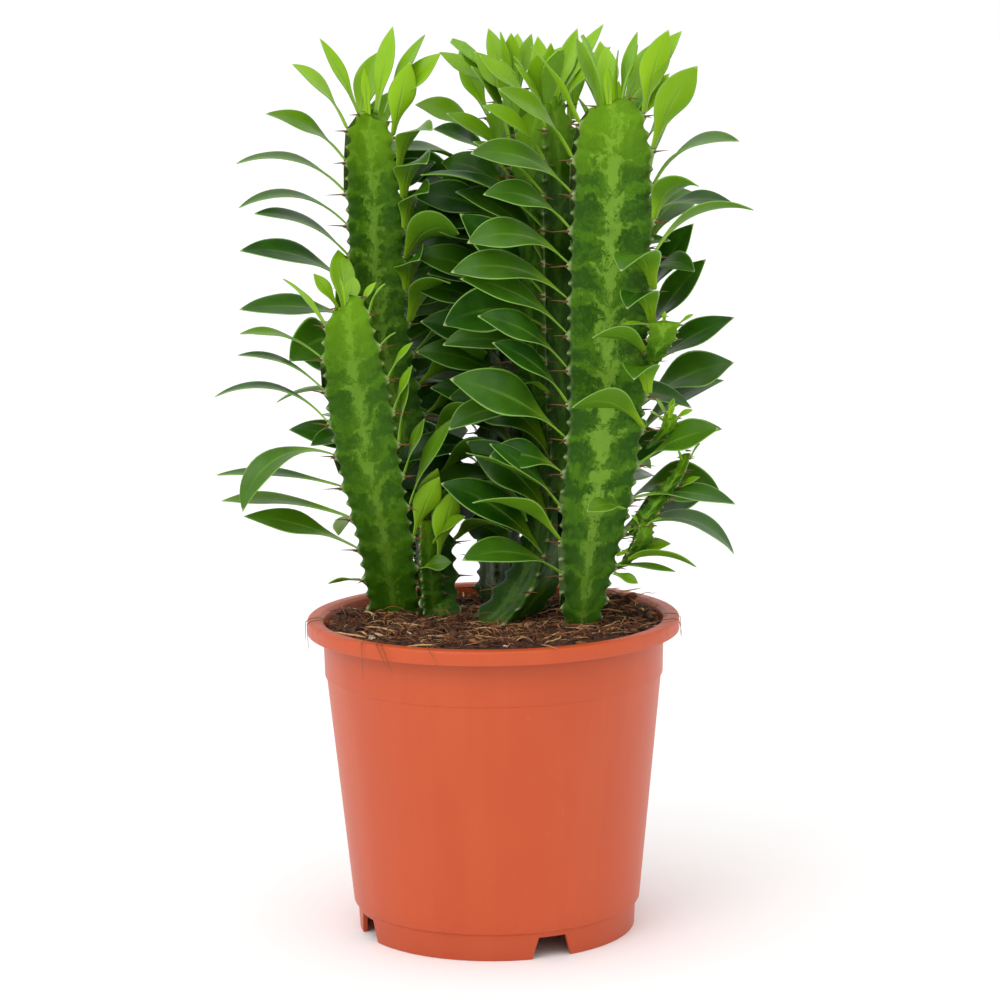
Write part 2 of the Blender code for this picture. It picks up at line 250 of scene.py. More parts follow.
def notchCutter(bearing):
    cutDepth = 14.0
    bm = bmesh.new()
    bmesh.ops.create_cube(bm, size=1.0)
    for vert in bm.verts:
        width = pot["notchTop"] if vert.co.z > 0 else pot["notchFoot"] + 1.8
        height = pot["notchHeight"] if vert.co.z > 0 else -3.0
        side = direction(bearing - 90.0) * (vert.co.x * width)
        vert.co = direction(bearing) * (pot["foot"] + vert.co.y * cutDepth) + side + up * height
    # the two top edges that run through the foot wall
    through = [edge for edge in bm.edges if abs((edge.verts[0].co - edge.verts[1].co).z) < 0.1
               and edge.verts[0].co.z > 0 and abs(edge.calc_length() - cutDepth) < 0.1]
    bmesh.ops.bevel(bm, geom=through, offset=1.6, segments=4, profile=0.5, affect="EDGES", material=-1)
    return bm


def holeCutter(radius, centre):
    bm = bmesh.new()
    bmesh.ops.create_cone(bm, cap_ends=True, segments=48, radius1=radius, radius2=radius, depth=12.0)
    bmesh.ops.translate(bm, verts=bm.verts, vec=centre + up * pot["underside"])
    return bm


def cutWith(bm, cutters):
    # the bmesh less all the cutters, by an exact Boolean
    holder = []
    for index, source in enumerate([bm] + cutters):
        mesh = bpy.data.meshes.new(f"cut{index}")
        source.to_mesh(mesh)
        source.free()
        holder.append(bpy.data.objects.new(f"cut{index}", mesh))
        bpy.context.scene.collection.objects.link(holder[-1])
    for cutter in holder[1:]:
        cut = holder[0].modifiers.new(cutter.name, "BOOLEAN")
        cut.operation = "DIFFERENCE"
        cut.solver = "EXACT"
        cut.object = cutter
    view = holder[0].evaluated_get(bpy.context.evaluated_depsgraph_get())
    result = bmesh.new()
    result.from_mesh(view.data)
    for obj in holder:
        bpy.data.objects.remove(obj)
    return result


def makePotMaterial():
    material, wire, place = startMaterial("terracottaPlastic")
    xyz = place.node("SeparateXYZ", None, {"Vector": place}, "Z")
    cloud = place.noise(14.0, 3.0, 0.5)
    grain = place.noise(2600.0, 2.0, 0.5)
    flow = place.noise(60.0, 3.0, 0.6, (1.0, 1.0, 0.08), 3.0)
    scuff = place.noise(420.0, 4.0, 0.7, (1.0, 1.0, 0.35), 7.0).step(0.62, 0.78)
    normal = wire.node("NewGeometry", None, None, "Normal")
    outward = place.node("VectorMath", {"operation": "DOT_PRODUCT"}, {0: place, 1: normal}, "Value")
    # painted shade: the inner wall above the soil is darkened, where shade falls inside the pot
    inside = outward.step(-0.04, -0.06) * xyz.step(0.1447, 0.143) * xyz.step(0.1, 0.12)
    low = xyz.step(0.022, 0.0)
    dust = xyz.step(0.125, 0.143) * place.noise(260.0, 4.0, 0.7).step(0.5, 0.72)
    base = cloud.mix(colour(186, 72, 28), colour(200, 81, 36))
    base = (flow.step(0.4, 0.75) * 0.22).mix(base, colour(206, 94, 50))
    base = (scuff * 0.12).mix(base, colour(216, 140, 112))
    base = (dust * 0.16).mix(base, colour(150, 96, 70))
    # painted shade: the pot is darker towards its foot, near the floor
    base = (low * 0.25).mix(base, colour(160, 70, 44))
    base = (inside * (0.7 + cloud * 0.3)).mix(base, colour(96, 30, 14))
    rough = 0.36 + cloud * 0.1 + scuff * 0.12 + dust * 0.2
    height = grain * 0.25 + flow * 0.5
    endMaterial(wire, base, rough, height, 0.05, Specular_IOR_Level=0.4)
    return material


def makePot():
    bm = bmesh.new()
    profile = potProfile()
    verts = [bm.verts.new((radius, 0.0, height)) for radius, height, _ in profile]
    for start, end in zip(verts, verts[1:]):
        bm.edges.new((start, end))
    for vert, (_, _, rounding) in zip(verts, profile):
        if rounding:
            bmesh.ops.bevel(bm, geom=[vert], offset=rounding, segments=3, profile=0.5,
                            affect="VERTICES", material=-1)
    bmesh.ops.spin(bm, geom=bm.verts[:] + bm.edges[:], cent=(0, 0, 0), axis=(0, 0, 1), dvec=(0, 0, 0),
                   angle=math.tau, steps=pot["steps"], use_merge=True, use_duplicate=False)
    bmesh.ops.remove_doubles(bm, verts=bm.verts, dist=0.01)
    bmesh.ops.recalc_face_normals(bm, faces=bm.faces)
    cutters = [holeCutter(pot["centreDrain"], Vector())]
    for bearing in pot["notches"]:
        cutters.append(notchCutter(bearing))
        cutters.append(holeCutter(pot["drain"], direction(bearing) * pot["drainCircle"]))
    bm = cutWith(bm, cutters)
    obj = addPiece("nurseryPot", bm, [makePotMaterial()], ["pot"])
    obj.data.set_sharp_from_angle(angle=math.radians(35.0))
    print("pot made:", len(obj.data.polygons), "faces")


# a mound is x, y, spread and rise; a strand over the rim is bearing, drop outside and thickness
soil = dict(level=141.6, tilt=2.2, edgeDrop=0.4, backDrop=3.0, fullRadius=64.0, wallReach=76.0,
            around=220, rings=64, crumbs=2300, crumbReach=74.0, fibres=2100, straws=84, fibreReach=71.0,
            strawLength=(8.0, 22.0), strawThick=(0.3, 0.6),
            fibreLength=(3.5, 14.0), fibreThick=(0.1, 0.25),
            overRim=[(-43, 12, 0.3), (-38, 6, 0.35), (-36, 8, 0.25), (-80, 8, 0.35), (-84, 5, 0.3),
                     (76, 7, 0.3), (-20, 5, 0.2), (84, 4, 0.25)],
            mounds=[(12, 40, 12, 3.0), (60, 16, 17, 6.0), (-40, -18, 20, 1.6), (10, -48, 22, 1.6),
                    (42, 30, 14, 5.0), (-66, 14, 12, 2.4), (0, -10, 15, -1.8), (-62, 10, 10, 1.4),
                    (38, -42, 16, 1.5)])


def soilHeight(x, y):
    # the big shape: higher at the front, falling away at the wall, with low mounds
    reach = math.hypot(x, y)
    back = smoothStep(-0.2, 0.9, y / max(reach, 1.0))
    height = soil["level"] - soil["tilt"] * y / 70.0
    drop = soil["edgeDrop"] + soil["backDrop"] * back
    height -= drop * smoothStep(soil["fullRadius"], soil["wallReach"], reach)
    for cx, cy, spread, rise in soil["mounds"]:
        height += rise * math.exp(-((x - cx) ** 2 + (y - cy) ** 2) / spread ** 2)
    return height


def roughSoil(x, y):
    # crumb-sized lumps on top of the big shape
    spot = Vector((x, y, 0.0))
    coarse = noise.noise(spot * 0.12) * 1.5
    lumps = abs(noise.noise(spot * 0.33 + Vector((9.0, 0.0, 2.0)))) * 2.8 - 0.6
    fine = noise.noise(spot * 0.8 + Vector((0.0, 5.0, 4.0))) * 0.9
    return soilHeight(x, y) + coarse + lumps + fine


def makeSoilMaterial():
    material, wire, place = startMaterial("coirPeat")
    patch = place.noise(60.0, 4.0, 0.65)
    crumbs = place.noise(420.0, 5.0, 0.7)
    strands = place.noise(300.0, 3.0, 0.6, (1.0, 0.25, 1.0), 4.0)
    base = crumbs.step(0.35, 0.66).mix(colour(24, 9, 4), colour(96, 50, 26))
    base = (patch.step(0.4, 0.7) * 0.55).mix(base, colour(66, 34, 16))
    base = (strands.step(0.6, 0.72) * 0.5).mix(base, colour(140, 90, 50))
    endMaterial(wire, base, 0.85 + crumbs * 0.1, crumbs + strands * 0.6, 1.0)
    return material


def makeCrumbMaterial():
    material, wire, place = startMaterial("peatCrumbs")
    tint = attribute(wire, "tint")
    grit = place.noise(900.0, 4.0, 0.7)
    base = wire.node("ValToRGB", {"stops": [
        (0.0, colour(22, 10, 4)), (0.45, colour(62, 34, 18)), (0.72, colour(104, 60, 34)),
        (0.9, colour(150, 92, 50)), (0.985, colour(184, 122, 74)),
        (1.0, colour(232, 210, 178))]}, {"Fac": tint})
    base = (grit.step(0.4, 0.7) * 0.5).mix(base, colour(36, 20, 12))
    endMaterial(wire, base, 0.9 - grit * 0.1, grit, 0.5)
    return material


def makeFibreMaterial():
    material, wire, place = startMaterial("coirFibre")
    tint = attribute(wire, "tint")
    blotch = place.noise(500.0, 3.0, 0.6)
    base = wire.node("ValToRGB", {"stops": [
        (0.0, colour(50, 24, 10)), (0.4, colour(106, 60, 30)), (0.75, colour(170, 110, 62)),
        (1.0, colour(236, 196, 134))]}, {"Fac": tint})
    base = (blotch.step(0.45, 0.75) * 0.45).mix(base, colour(92, 54, 32))
    endMaterial(wire, base, 0.6 + blotch * 0.25, blotch, 0.1)
    return material


def makeSoil(draw):
    bm = bmesh.new()
    bmesh.ops.create_grid(bm, x_segments=soil["around"], y_segments=soil["rings"], size=0.5)
    outer = wallRadius(136.0) - 0.4
    for vert in bm.verts:
        turn = (vert.co.x + 0.5) * math.tau
        reach = (0.5 - vert.co.y) * outer
        x, y = math.cos(turn) * reach, math.sin(turn) * reach
        vert.co = (x, y, roughSoil(x, y))
    bmesh.ops.remove_doubles(bm, verts=bm.verts, dist=0.01)
    rim = [edge for edge in bm.edges if edge.is_boundary]
    for height in (128.0, 119.0):
        made = bmesh.ops.extrude_edge_only(bm, edges=rim)["geom"]
        rim = [part for part in made if isinstance(part, bmesh.types.BMEdge)]
        reach = wallRadius(height) - 0.4
        for vert in [part for part in made if isinstance(part, bmesh.types.BMVert)]:
            flat = Vector((vert.co.x, vert.co.y, 0.0)).normalized()
            vert.co = flat * reach + up * height
    bmesh.ops.edgeloop_fill(bm, edges=rim)
    bmesh.ops.recalc_face_normals(bm, faces=bm.faces)
    addPiece("pottingSoil", bm, [makeSoilMaterial()], ["soil"])
    makeCrumbs(draw)
    makeFibres(draw)
    print("soil made:", soil["crumbs"], "crumbs,", soil["fibres"], "fibres")


def spotOnSoil(draw, reach):
    turn = draw.uniform(0.0, math.tau)
    distance = reach * math.sqrt(draw.random())
    return math.cos(turn) * distance, math.sin(turn) * distance


def makeCrumbs(draw):
    bm = bmesh.new()
    tint = bm.verts.layers.float.new("tint")
    for _ in range(soil["crumbs"]):
        x, y = spotOnSoil(draw, soil["crumbReach"])
        size = 0.45 + 2.0 * draw.random() ** 3.2
        made = bmesh.ops.create_icosphere(bm, subdivisions=1, radius=size)["verts"]
        stretch = Vector((draw.uniform(0.6, 2.0), draw.uniform(0.5, 1.2), draw.uniform(0.4, 0.9)))
        axis = Vector((draw.random(), draw.random(), 2.0)).normalized()
        turn = Quaternion(axis, draw.uniform(0.0, 6.0))
        shade = draw.random() ** 1.2
        if draw.random() < 0.02:
            shade = 1.0
            stretch *= 0.5
        place = Vector((x, y, roughSoil(x, y) + size * draw.uniform(-0.2, 0.35)))
        for vert in made:
            lump = Vector(vert.co[i] * stretch[i] * draw.uniform(0.6, 1.35) for i in range(3))
            vert.co = place + turn @ lump
            vert[tint] = shade
    addPiece("soilCrumbs", bm, [makeCrumbMaterial()])


def fibrePath(draw, start, bearing, length, curl, lift, steps):
    # a loose strand: level heading with a steady curl, rising at its ends by lift
    points = [start]
    heading = bearing
    for step in range(steps):
        heading += curl / steps + draw.gauss(0.0, 9.0)
        ahead = direction(heading) * (length / steps)
        spot = points[-1] + ahead
        ground = roughSoil(spot.x, spot.y) + 0.4
        share = (step + 1) / steps
        if math.hypot(spot.x, spot.y) < soil["wallReach"]:
            spot.z = max(ground, start.z + lift * math.sin(share * 2.4))
        else:
            spot.z = points[-1].z + lift * 0.2
        points.append(spot)
    return points


def makeFibres(draw):
    bm = bmesh.new()
    tint = bm.verts.layers.float.new("tint")
    for index in range(soil["fibres"]):
        straw = index < soil["straws"]
        x, y = spotOnSoil(draw, soil["fibreReach"])
        length = draw.uniform(*soil["strawLength" if straw else "fibreLength"])
        thick = draw.uniform(*soil["strawThick" if straw else "fibreThick"])
        bearing = math.degrees(math.atan2(x, -y)) + draw.choice((-90.0, 90.0)) + draw.gauss(0.0, 50.0)
        start = Vector((x, y, roughSoil(x, y) + 0.3))
        lift = draw.uniform(0.2, 1.6) if straw or draw.random() < 0.8 else draw.uniform(1.5, 4.5)
        points = fibrePath(draw, start, bearing, length, draw.gauss(0.0, 12.0 if straw else 55.0), lift, 6)
        radii = [thick * share for share in (0.25, 0.9, 1.0, 1.0, 0.95, 0.8, 0.15)]
        shade = draw.uniform(0.8, 1.0) if straw else draw.random() ** 1.1 * 0.9
        addTube(bm, points, radii, 4, {tint: shade})
    for bearing, drop, thick in soil["overRim"]:
        # a strand that lies across the rim and hangs outside
        lean = draw.uniform(-7.0, 7.0)
        path = [(66.0, 140.5), (74.0, 143.6), (79.5, 145.4), (83.5, 145.6), (85.7, 144.6),
                (86.1, 141.5), (86.3, 141.0 - drop * 0.6), (86.4, 141.0 - drop)]
        points = [direction(bearing + lean * (i / 3.0 - 1.0)) * reach + up * height
                  for i, (reach, height) in enumerate(path)]
        addTube(bm, points, [thick * share for share in (0.3, 0.6, 0.7, 0.7, 0.65, 0.5, 0.4, 0.1)], 5,
                {tint: draw.uniform(0.4, 0.8)})
    bmesh.ops.remove_doubles(bm, verts=bm.verts, dist=0.002)
    addPiece("coirFibres", bm, [makeFibreMaterial()])


# bearing of rib a, height of the top teeth, tooth spacing, how far ribs a, b and c are out of step, and
# centre line (x, y, z, rib radius); habit is the usual swing and turn of the leaves on a rib
stems = {
    "frontLeft": dict(node="front_left", rib=-54, teeth=278.5, pitch=14.9, pale=0.5, young=0.4,
        lifts=(0, 5, 2), line=[
        (-46, 26, 142, 13.5), (-50, 14, 180, 14.8), (-56, 7, 215, 16.4), (-61.5, 3, 255, 16.0),
        (-63.6, 1, 278, 12.2), (-63.0, 1, 287, 8.0)]),
    "tallLeft": dict(node="tall_left", rib=-45, teeth=364.0, pitch=14.4, pale=0.8,
        lifts=(0, -3.5, 1), line=[
        (-25, 15, 142, 9.5), (-30, 34, 174, 12.0), (-42, 45, 220, 13.6), (-52.5, 44, 285, 14.3),
        (-53.8, 40, 332, 14.9), (-54.5, 38, 350, 13.4), (-55, 37, 364, 11.4), (-52, 36, 373, 8.5)],
        habit=dict(a=(-30, -30), b=(-30, -40), c=(-75, 55))),
    "tallRight": dict(node="tall_right", rib=-56, teeth=367.5, pitch=15.4, pale=1.0,
        lifts=(0, 3.2, -2), line=[
        (39, -20, 142, 9.5), (41, -20, 158, 11.5), (46, -20, 200, 18.0), (50, -19, 232, 19.2),
        (52.6, -17, 290, 20.8), (54.2, -15, 335, 20.2), (54.8, -14, 367, 16.8), (55.4, -14, 377, 11.5)]),
    "middle": dict(node="middle", rib=-2, teeth=364.0, pitch=14.8, pale=0.5,
        lifts=(0, 3, -3), crown=12.5, line=[
        (2, 1, 140, 17.0), (14, 5, 152, 16.5), (24.5, 12, 174, 14.5), (27, 16, 204, 15.5),
        (25, 20, 286, 17.5), (26, 21, 345, 16.8), (26.5, 21, 364, 13.5), (27, 21, 376, 9.5)],
        habit=dict(a=(-76, -48), b=(10, 40), c=(28, -58))),
    "rearMiddle": dict(node="rear_middle", rib=-5, teeth=372.0, pitch=14.8, pale=0.45, scars=0.8,
        lifts=(0, 2, -4), line=[
        (2, 55, 142, 11.5), (4, 55, 188, 12.5), (8, 54, 283, 15.0), (11, 51, 350, 15.0),
        (12, 50, 372, 12.0), (12, 50, 381, 8.5)], habit=dict(a=(-70, -50), b=(-30, 40), c=(34, -60))),
    "rearRight": dict(node="rear_right", rib=-40, teeth=350.0, pitch=15.0, pale=0.6,
        lifts=(0, 3, -2), line=[
        (40, 37, 142, 9.5), (50, 41, 200, 14.0), (56, 44, 290, 15.5), (58.5, 43, 335, 14.8),
        (59, 43, 351, 11.8), (59, 43, 360, 8.0)], habit=dict(a=(-20, -40), b=(0, 40), c=(0, 0))),
}
# young side shoots that grow from a tooth of tallRight or from the soil beside tallLeft
shoots = {
    "upperShoot": dict(rib=-62, teeth=280.0, pitch=6.5, pale=1.0,
        lifts=(0, 0, 0), crown=1.5, foot=258.0, line=[
        (70.5, -26.0, 258, 1.6), (73, -29, 266, 5.0), (76, -32, 275, 7.4), (77, -32.5, 282, 7.8)]),
    "budShoot": dict(rib=-40, teeth=238.0, pitch=5.0, pale=1.0,
        lifts=(0, 0, 0), crown=2.0, foot=224.0, line=[
        (69.5, -26.0, 224, 1.5), (74, -28, 229, 3.6), (78, -29.5, 234, 4.6), (79, -30, 240, 3.8)]),
    "sideShoot": dict(rib=20, teeth=220.0, pitch=6.0, pale=1.0,
        lifts=(0, 0, 0), crown=2.0, foot=185.0, line=[
        (62.5, -27, 185, 2.2), (70, -29.5, 194, 5.6), (79, -30, 206, 5.2), (85, -29, 215, 3.4),
        (87.5, -28, 222, 2.4)]),
    "lowShoot": dict(rib=-30, teeth=190.0, pitch=6.0, pale=1.0,
        lifts=(0, 0, 0), crown=2.0, foot=171.0, line=[
        (57.5, -27.5, 171, 2.0), (62, -30, 177, 4.8), (66, -31.5, 184, 5.6), (68, -31, 192, 3.6)]),
    "baseShoot": dict(rib=-20, teeth=184.0, pitch=8.0, pale=0.4,
        lifts=(0, 0, 0), crown=3.0, foot=136.0, line=[
        (-29, 16, 136, 6.5), (-30, 13, 158, 7.0), (-31, 12, 176, 6.0), (-31, 12, 187, 4.0)]),
}
stemShape = dict(around=72, rowsPerTooth=16, tooth=1.9, minorTooth=0.9, valley=-1.5, toothWidth=0.17,
                 minorWidth=0.1, crestRound=5.0, midFace=0.45, crown=8.5, buried=130.0)
# where little light reaches among the stems, and the colour that paints shade on what grows there
paintedHeartShade = dict(x=12.0, y=38.0, near=20.0, far=56.0, top=372.0, lit=325.0, shade=(150, 172, 110))


def lineSlopes(line):
    # how fast each value changes with height at each point of a centre line
    slopes = []
    for i in range(len(line)):
        low, high = line[max(i - 1, 0)], line[min(i + 1, len(line) - 1)]
        if 0 < i < len(line) - 1:
            before, after = line[i][2] - low[2], high[2] - line[i][2]
            slopes.append([((line[i][k] - low[k]) / before * after
                            + (high[k] - line[i][k]) / after * before) / (before + after) for k in range(4)])
        else:
            slopes.append([(high[k] - low[k]) / (high[2] - low[2]) for k in range(4)])
    return slopes


def stemAt(stem, height):
    # centre and rib radius at a height, on a smooth curve through the line
    line = stem["line"]
    slopes = stem.setdefault("slopes", lineSlopes(line))
    index = 0
    while index < len(line) - 2 and height > line[index + 1][2]:
        index += 1
    span = line[index + 1][2] - line[index][2]
    t = min(max((height - line[index][2]) / span, 0.0), 1.0)
    weights = ((1 + 2 * t) * (1 - t) ** 2, span * t * (1 - t) ** 2,
               t * t * (3 - 2 * t), span * t * t * (t - 1))
    values = [line[index][k] * weights[0] + slopes[index][k] * weights[1]
              + line[index + 1][k] * weights[2] + slopes[index + 1][k] * weights[3] for k in range(4)]
    return Vector((values[0], values[1], height)), values[3]


def ribBearing(stem, rib):
    return stem["rib"] + 120.0 * "abc".index(rib)


def peak(value, width):
    # 1 at whole numbers, falling away on both sides
    return math.exp(-((value - round(value)) / width) ** 2)


def faceRadius(offCrest):
    # share of the rib radius at an angle off the crest: hollow faces and blunt ribs
    rounded = math.sqrt(offCrest ** 2 + stemShape["crestRound"] ** 2)
    triangle = 0.5 / math.cos(math.radians(60.0 - rounded))
    crest = 0.5 / math.cos(math.radians(60.0 - stemShape["crestRound"]))
    middle = 0.5 / math.cos(math.radians(60.0 - math.hypot(60.0, stemShape["crestRound"])))
    hollow = 1.0 - stemShape["midFace"] * crest / middle
    return triangle / crest * (1.0 - hollow * smoothStep(0.0, 30.0, offCrest))


def toothHeight(stem, around, tooth):
    # the ribs are a little out of step, so a row of teeth tilts
    rib = math.floor(around)
    share = smoothStep(0.0, 1.0, around - rib)
    lift = stem["lifts"][rib % 3] * (1.0 - share) + stem["lifts"][(rib + 1) % 3] * share
    return stem["teeth"] + lift - tooth * stem["pitch"]


def stemSurface(stem, around, tooth):
    # a point on the skin: around is 0 to 3 (whole numbers are ribs), tooth counts down from the top teeth
    rib = math.floor(around)
    share = around - rib
    off = 60.0 * (1.0 - math.cos(math.pi * share))
    nearest = min(off, 120.0 - off)
    crest = (rib if off < 60.0 else rib + 1) % 3
    height = toothHeight(stem, around, tooth)
    centre, radius = stemAt(stem, height)
    spot = Vector((crest * 7.0, tooth * 1.3, stem["rib"] * 0.1))
    wander = noise.noise(spot) * 1.3 + noise.noise(spot * 2.7) * 0.7
    bearing = stem["rib"] + 120.0 * rib + off + wander * math.exp(-(nearest / 14.0) ** 2)
    onCrest = math.exp(-(nearest / 8.0) ** 2)
    uneven = noise.noise(Vector((crest * 3.0, round(tooth) * 5.1, stem["rib"])))
    big = stemShape["tooth"] * (1.0 + 0.35 * uneven)
    lip = stemShape["valley"] + (big - stemShape["valley"]) * peak(tooth, stemShape["toothWidth"])
    lip += (stemShape["minorTooth"] - stemShape["valley"]) * peak(tooth - 0.5, stemShape["minorWidth"])
    crown = stem.get("crown", stemShape["crown"])
    crownRise = max(-tooth * stem["pitch"], 0.0) / crown
    if crownRise > 0.0:
        lip *= max(1.0 - crownRise ** 4, 0.0)
        radius *= max(1.0 - max((crownRise - 0.72) / 0.28, 0.0) ** 2, 0.0) ** 0.5
    ripple = 0.35 * math.cos(math.tau * tooth) * smoothStep(4.0, 30.0, nearest)
    bumps = noise.noise(Vector((bearing * 0.05, tooth * 0.8, stem["rib"]))) * 0.7
    full = min(radius / 12.0, 1.0)
    lip *= full
    reach = radius * faceRadius(nearest) + lip * onCrest + (ripple - bumps * 0.5) * full
    return centre + direction(bearing) * max(reach, 0.0), 1.0 - nearest / 60.0


def paintedShadeFactor(spot):
    # 1 deep among the stems, 0 outside; skin and leaves there are darkened as painted shade
    away = math.hypot(spot.x - paintedHeartShade["x"], spot.y - paintedHeartShade["y"])
    deep = smoothStep(paintedHeartShade["far"], paintedHeartShade["near"], away)
    return deep * smoothStep(paintedHeartShade["top"], paintedHeartShade["lit"], spot.z)


def makeSkinMaterial(name, pale, seed, scars):
    material, wire, place = startMaterial(name)
    crest = attribute(wire, "crest")
    row = attribute(wire, "row")
    around = attribute(wire, "around")
    youth = attribute(wire, "youth")
    heart = attribute(wire, "heart")
    low = place.node("SeparateXYZ", None, {"Vector": place}, "Z").step(0.215, 0.15)
    warp = place.noise(80.0, 3.0, 0.6, (1.0, 1.0, 1.0), seed) - 0.5
    ragged = place.noise(420.0, 5.0, 0.8, (1.0, 1.0, 0.8), seed + 2.0) - 0.5
    slant = row + crest * 0.6 + warp * 2.2 + ragged * 0.5
    streaks = wire.node("CombineXYZ", None, {"X": slant * 9.0, "Y": around * 9.0, "Z": seed})
    streaks = streaks.noise(1.0, 5.0, 0.8) - 0.5
    branch = slant.distanceTo(0.5).step(0.22, 0.48)      # 1 midway between leaf teeth, 0 at a leaf tooth
    reach = 0.13 + branch * 0.4 + warp * 0.7
    band = (crest + streaks * 2.3 + ragged * 1.3 - reach).step(0.14, -0.12)
    dark = (crest * 0.5 - branch * 0.55 + streaks * 2.2 + ragged * 1.2 + warp * 0.8).step(0.16, 0.42)
    base = (streaks * 1.6 + 0.5).step(0.2, 0.8).mix(colour(48, 92, 0), colour(80, 126, 2))
    base = (dark * (0.45 + 0.35 * pale)).mix(base, colour(28, 68, 0))
    base = (band * (0.3 + 0.4 * pale)).mix(base, colour(126, 168, 54))
    base = (youth * 0.5).mix(base, colour(122, 172, 6))
    # painted shade: skin darker towards the foot of each stem, where the lower stems sit in shadow
    base = (low * 0.4).mix(base, colour(40, 78, 6))
    toTooth = row.distanceTo(0.5)
    atTeeth = 0.1 + toTooth.step(0.17, 0.05) * 0.9 + toTooth.step(0.43, 0.49) * 0.5
    # pale shields at the teeth along the rib crests: partly the real pale skin there, partly a painted
    # highlight
    paleShieldAndHighlight = crest.step(0.91, 1.0) * atTeeth
    base = (paleShieldAndHighlight.minimum(0.85) * (ragged * 1.6 + 0.9)).mix(base, colour(204, 212, 160))
    if scars:
        scar = (crest + ragged * 0.8).step(0.62, 0.85) * ragged.step(0.05, 0.11) * low
        base = (scar * scars).mix(base, colour(206, 204, 186))
    # painted shade: skin deep among the stems is multiplied darker
    base = heart.mix(base, colour(*paintedHeartShade["shade"]), "MULTIPLY")
    rough = 0.44 + ragged * 0.2 - band * 0.04
    height = streaks * 0.6 + ragged * 0.5 + warp * 0.6
    endMaterial(wire, base, rough, height, 0.35, Specular_IOR_Level=0.15)
    return material


def makeStem(name, stem):
    bm = bmesh.new()
    layers = [bm.verts.layers.float.new(layer) for layer in ("crest", "row", "around", "youth", "heart")]
    lowest = (stem["teeth"] - stem.get("foot", stemShape["buried"])) / stem["pitch"]
    highest = -stem.get("crown", stemShape["crown"]) / stem["pitch"]
    rows = int((lowest - highest) * stemShape["rowsPerTooth"])
    columns = stemShape["around"] // (1 if "node" in stem else 2)
    bmesh.ops.create_grid(bm, x_segments=columns, y_segments=rows, size=0.5)
    for vert in bm.verts:
        around = (vert.co.x + 0.5) * 3.0
        tooth = lowest + (highest - lowest) * (vert.co.y + 0.5)
        vert.co, crest = stemSurface(stem, min(around, 3.0), tooth)
        youth = smoothStep(2.2, -0.3, tooth)
        for layer, value in zip(layers, (crest, tooth, around, youth, paintedShadeFactor(vert.co))):
            vert[layer] = value
    bmesh.ops.remove_doubles(bm, verts=bm.verts, dist=0.004)
    bmesh.ops.holes_fill(bm, edges=[edge for edge in bm.edges if edge.is_boundary], sides=0)
    bmesh.ops.recalc_face_normals(bm, faces=bm.faces)
    skin = makeSkinMaterial(name + "Skin", stem["pale"], abs(stem["rib"]) * 0.3, stem.get("scars", 0.0))
    addPiece(name + "Stem", bm, [skin], [stem["node"] + "_stem"] if "node" in stem else [])
    print(name, "stem made")


spines = dict(length=7.6, base=0.42, spread=36.0, lowest=150.0)


def makeSpineMaterial():
    material, wire, place = startMaterial("spineHorn")
    along = attribute(wire, "along")
    mottle = place.noise(900.0, 3.0, 0.6)
    base = wire.node("ValToRGB", {"stops": [
        (0.0, colour(96, 84, 30)), (0.25, colour(112, 80, 30)), (0.8, colour(120, 74, 36)),
        (1.0, colour(70, 40, 20))]}, {"Fac": along})
    base = (mottle.step(0.45, 0.7) * 0.3).mix(base, colour(112, 76, 32))
    endMaterial(wire, base, 0.45 + mottle * 0.2, mottle, 0.1)
    return material


def makeSpines(name, stem, material, draw):
    # a pair of spines and a corky pad under each leaf tooth
    bm = bmesh.new()
    along = bm.verts.layers.float.new("along")
    teeth = int((stem["teeth"] - max(spines["lowest"], stem.get("foot", 0.0) + 4.0)) / stem["pitch"])
    small = 1.0 if "node" in stem else 0.45
    for rib in range(3):
        for tooth in [-0.5] + list(range(teeth + 1)):
            tip, _ = stemSurface(stem, float(rib), float(tooth))
            bearing = stem["rib"] + 120.0 * rib
            youth = smoothStep(2.0, 0.0, tooth)
            for vert in bmesh.ops.create_icosphere(bm, subdivisions=1, radius=1.0)["verts"]:
                local = vert.co.copy()
                side = direction(bearing + 90.0) * local.x * 1.5 * small
                pad = direction(bearing) * (local.y * 0.75 - 0.25) + up * (local.z * 0.7 - 0.3)
                vert.co = tip + side + pad * small
                vert[along] = draw.uniform(0.0, 0.25)
            for hand in (-1.0, 1.0):
                length = spines["length"] * draw.uniform(0.75, 1.15) * (1.0 - 0.25 * youth) * small
                level = bearing + hand * spines["spread"] * draw.uniform(0.8, 1.25)
                ahead = (direction(level) + up * draw.uniform(-0.12, 0.2)).normalized()
                start = tip + direction(bearing + 90.0) * hand * 0.9 - ahead * 0.6
                points = [start + ahead * length * share - up * 0.25 * share * share * draw.random()
                          for share in (0.0, 0.3, 0.65, 1.0)]
                radii = [spines["base"] * share * (0.4 + 0.6 * small) for share in (1.15, 0.8, 0.5, 0.06)]
                made = addTube(bm, points, radii, 5)
                for vert in made:
                    vert[along] = min((vert.co - start).length / length, 1.0)
    bmesh.ops.remove_doubles(bm, verts=bm.verts, dist=0.003)
    addPiece(name + "Spines", bm, [material])


leafShape = dict(thickness=0.65, petiole=0.17, fold=0.22, along=10, across=4, inset=0.9, lowest=166.0,
                 room=2.0, attempts=24, largest=1.05, shrink=0.02)

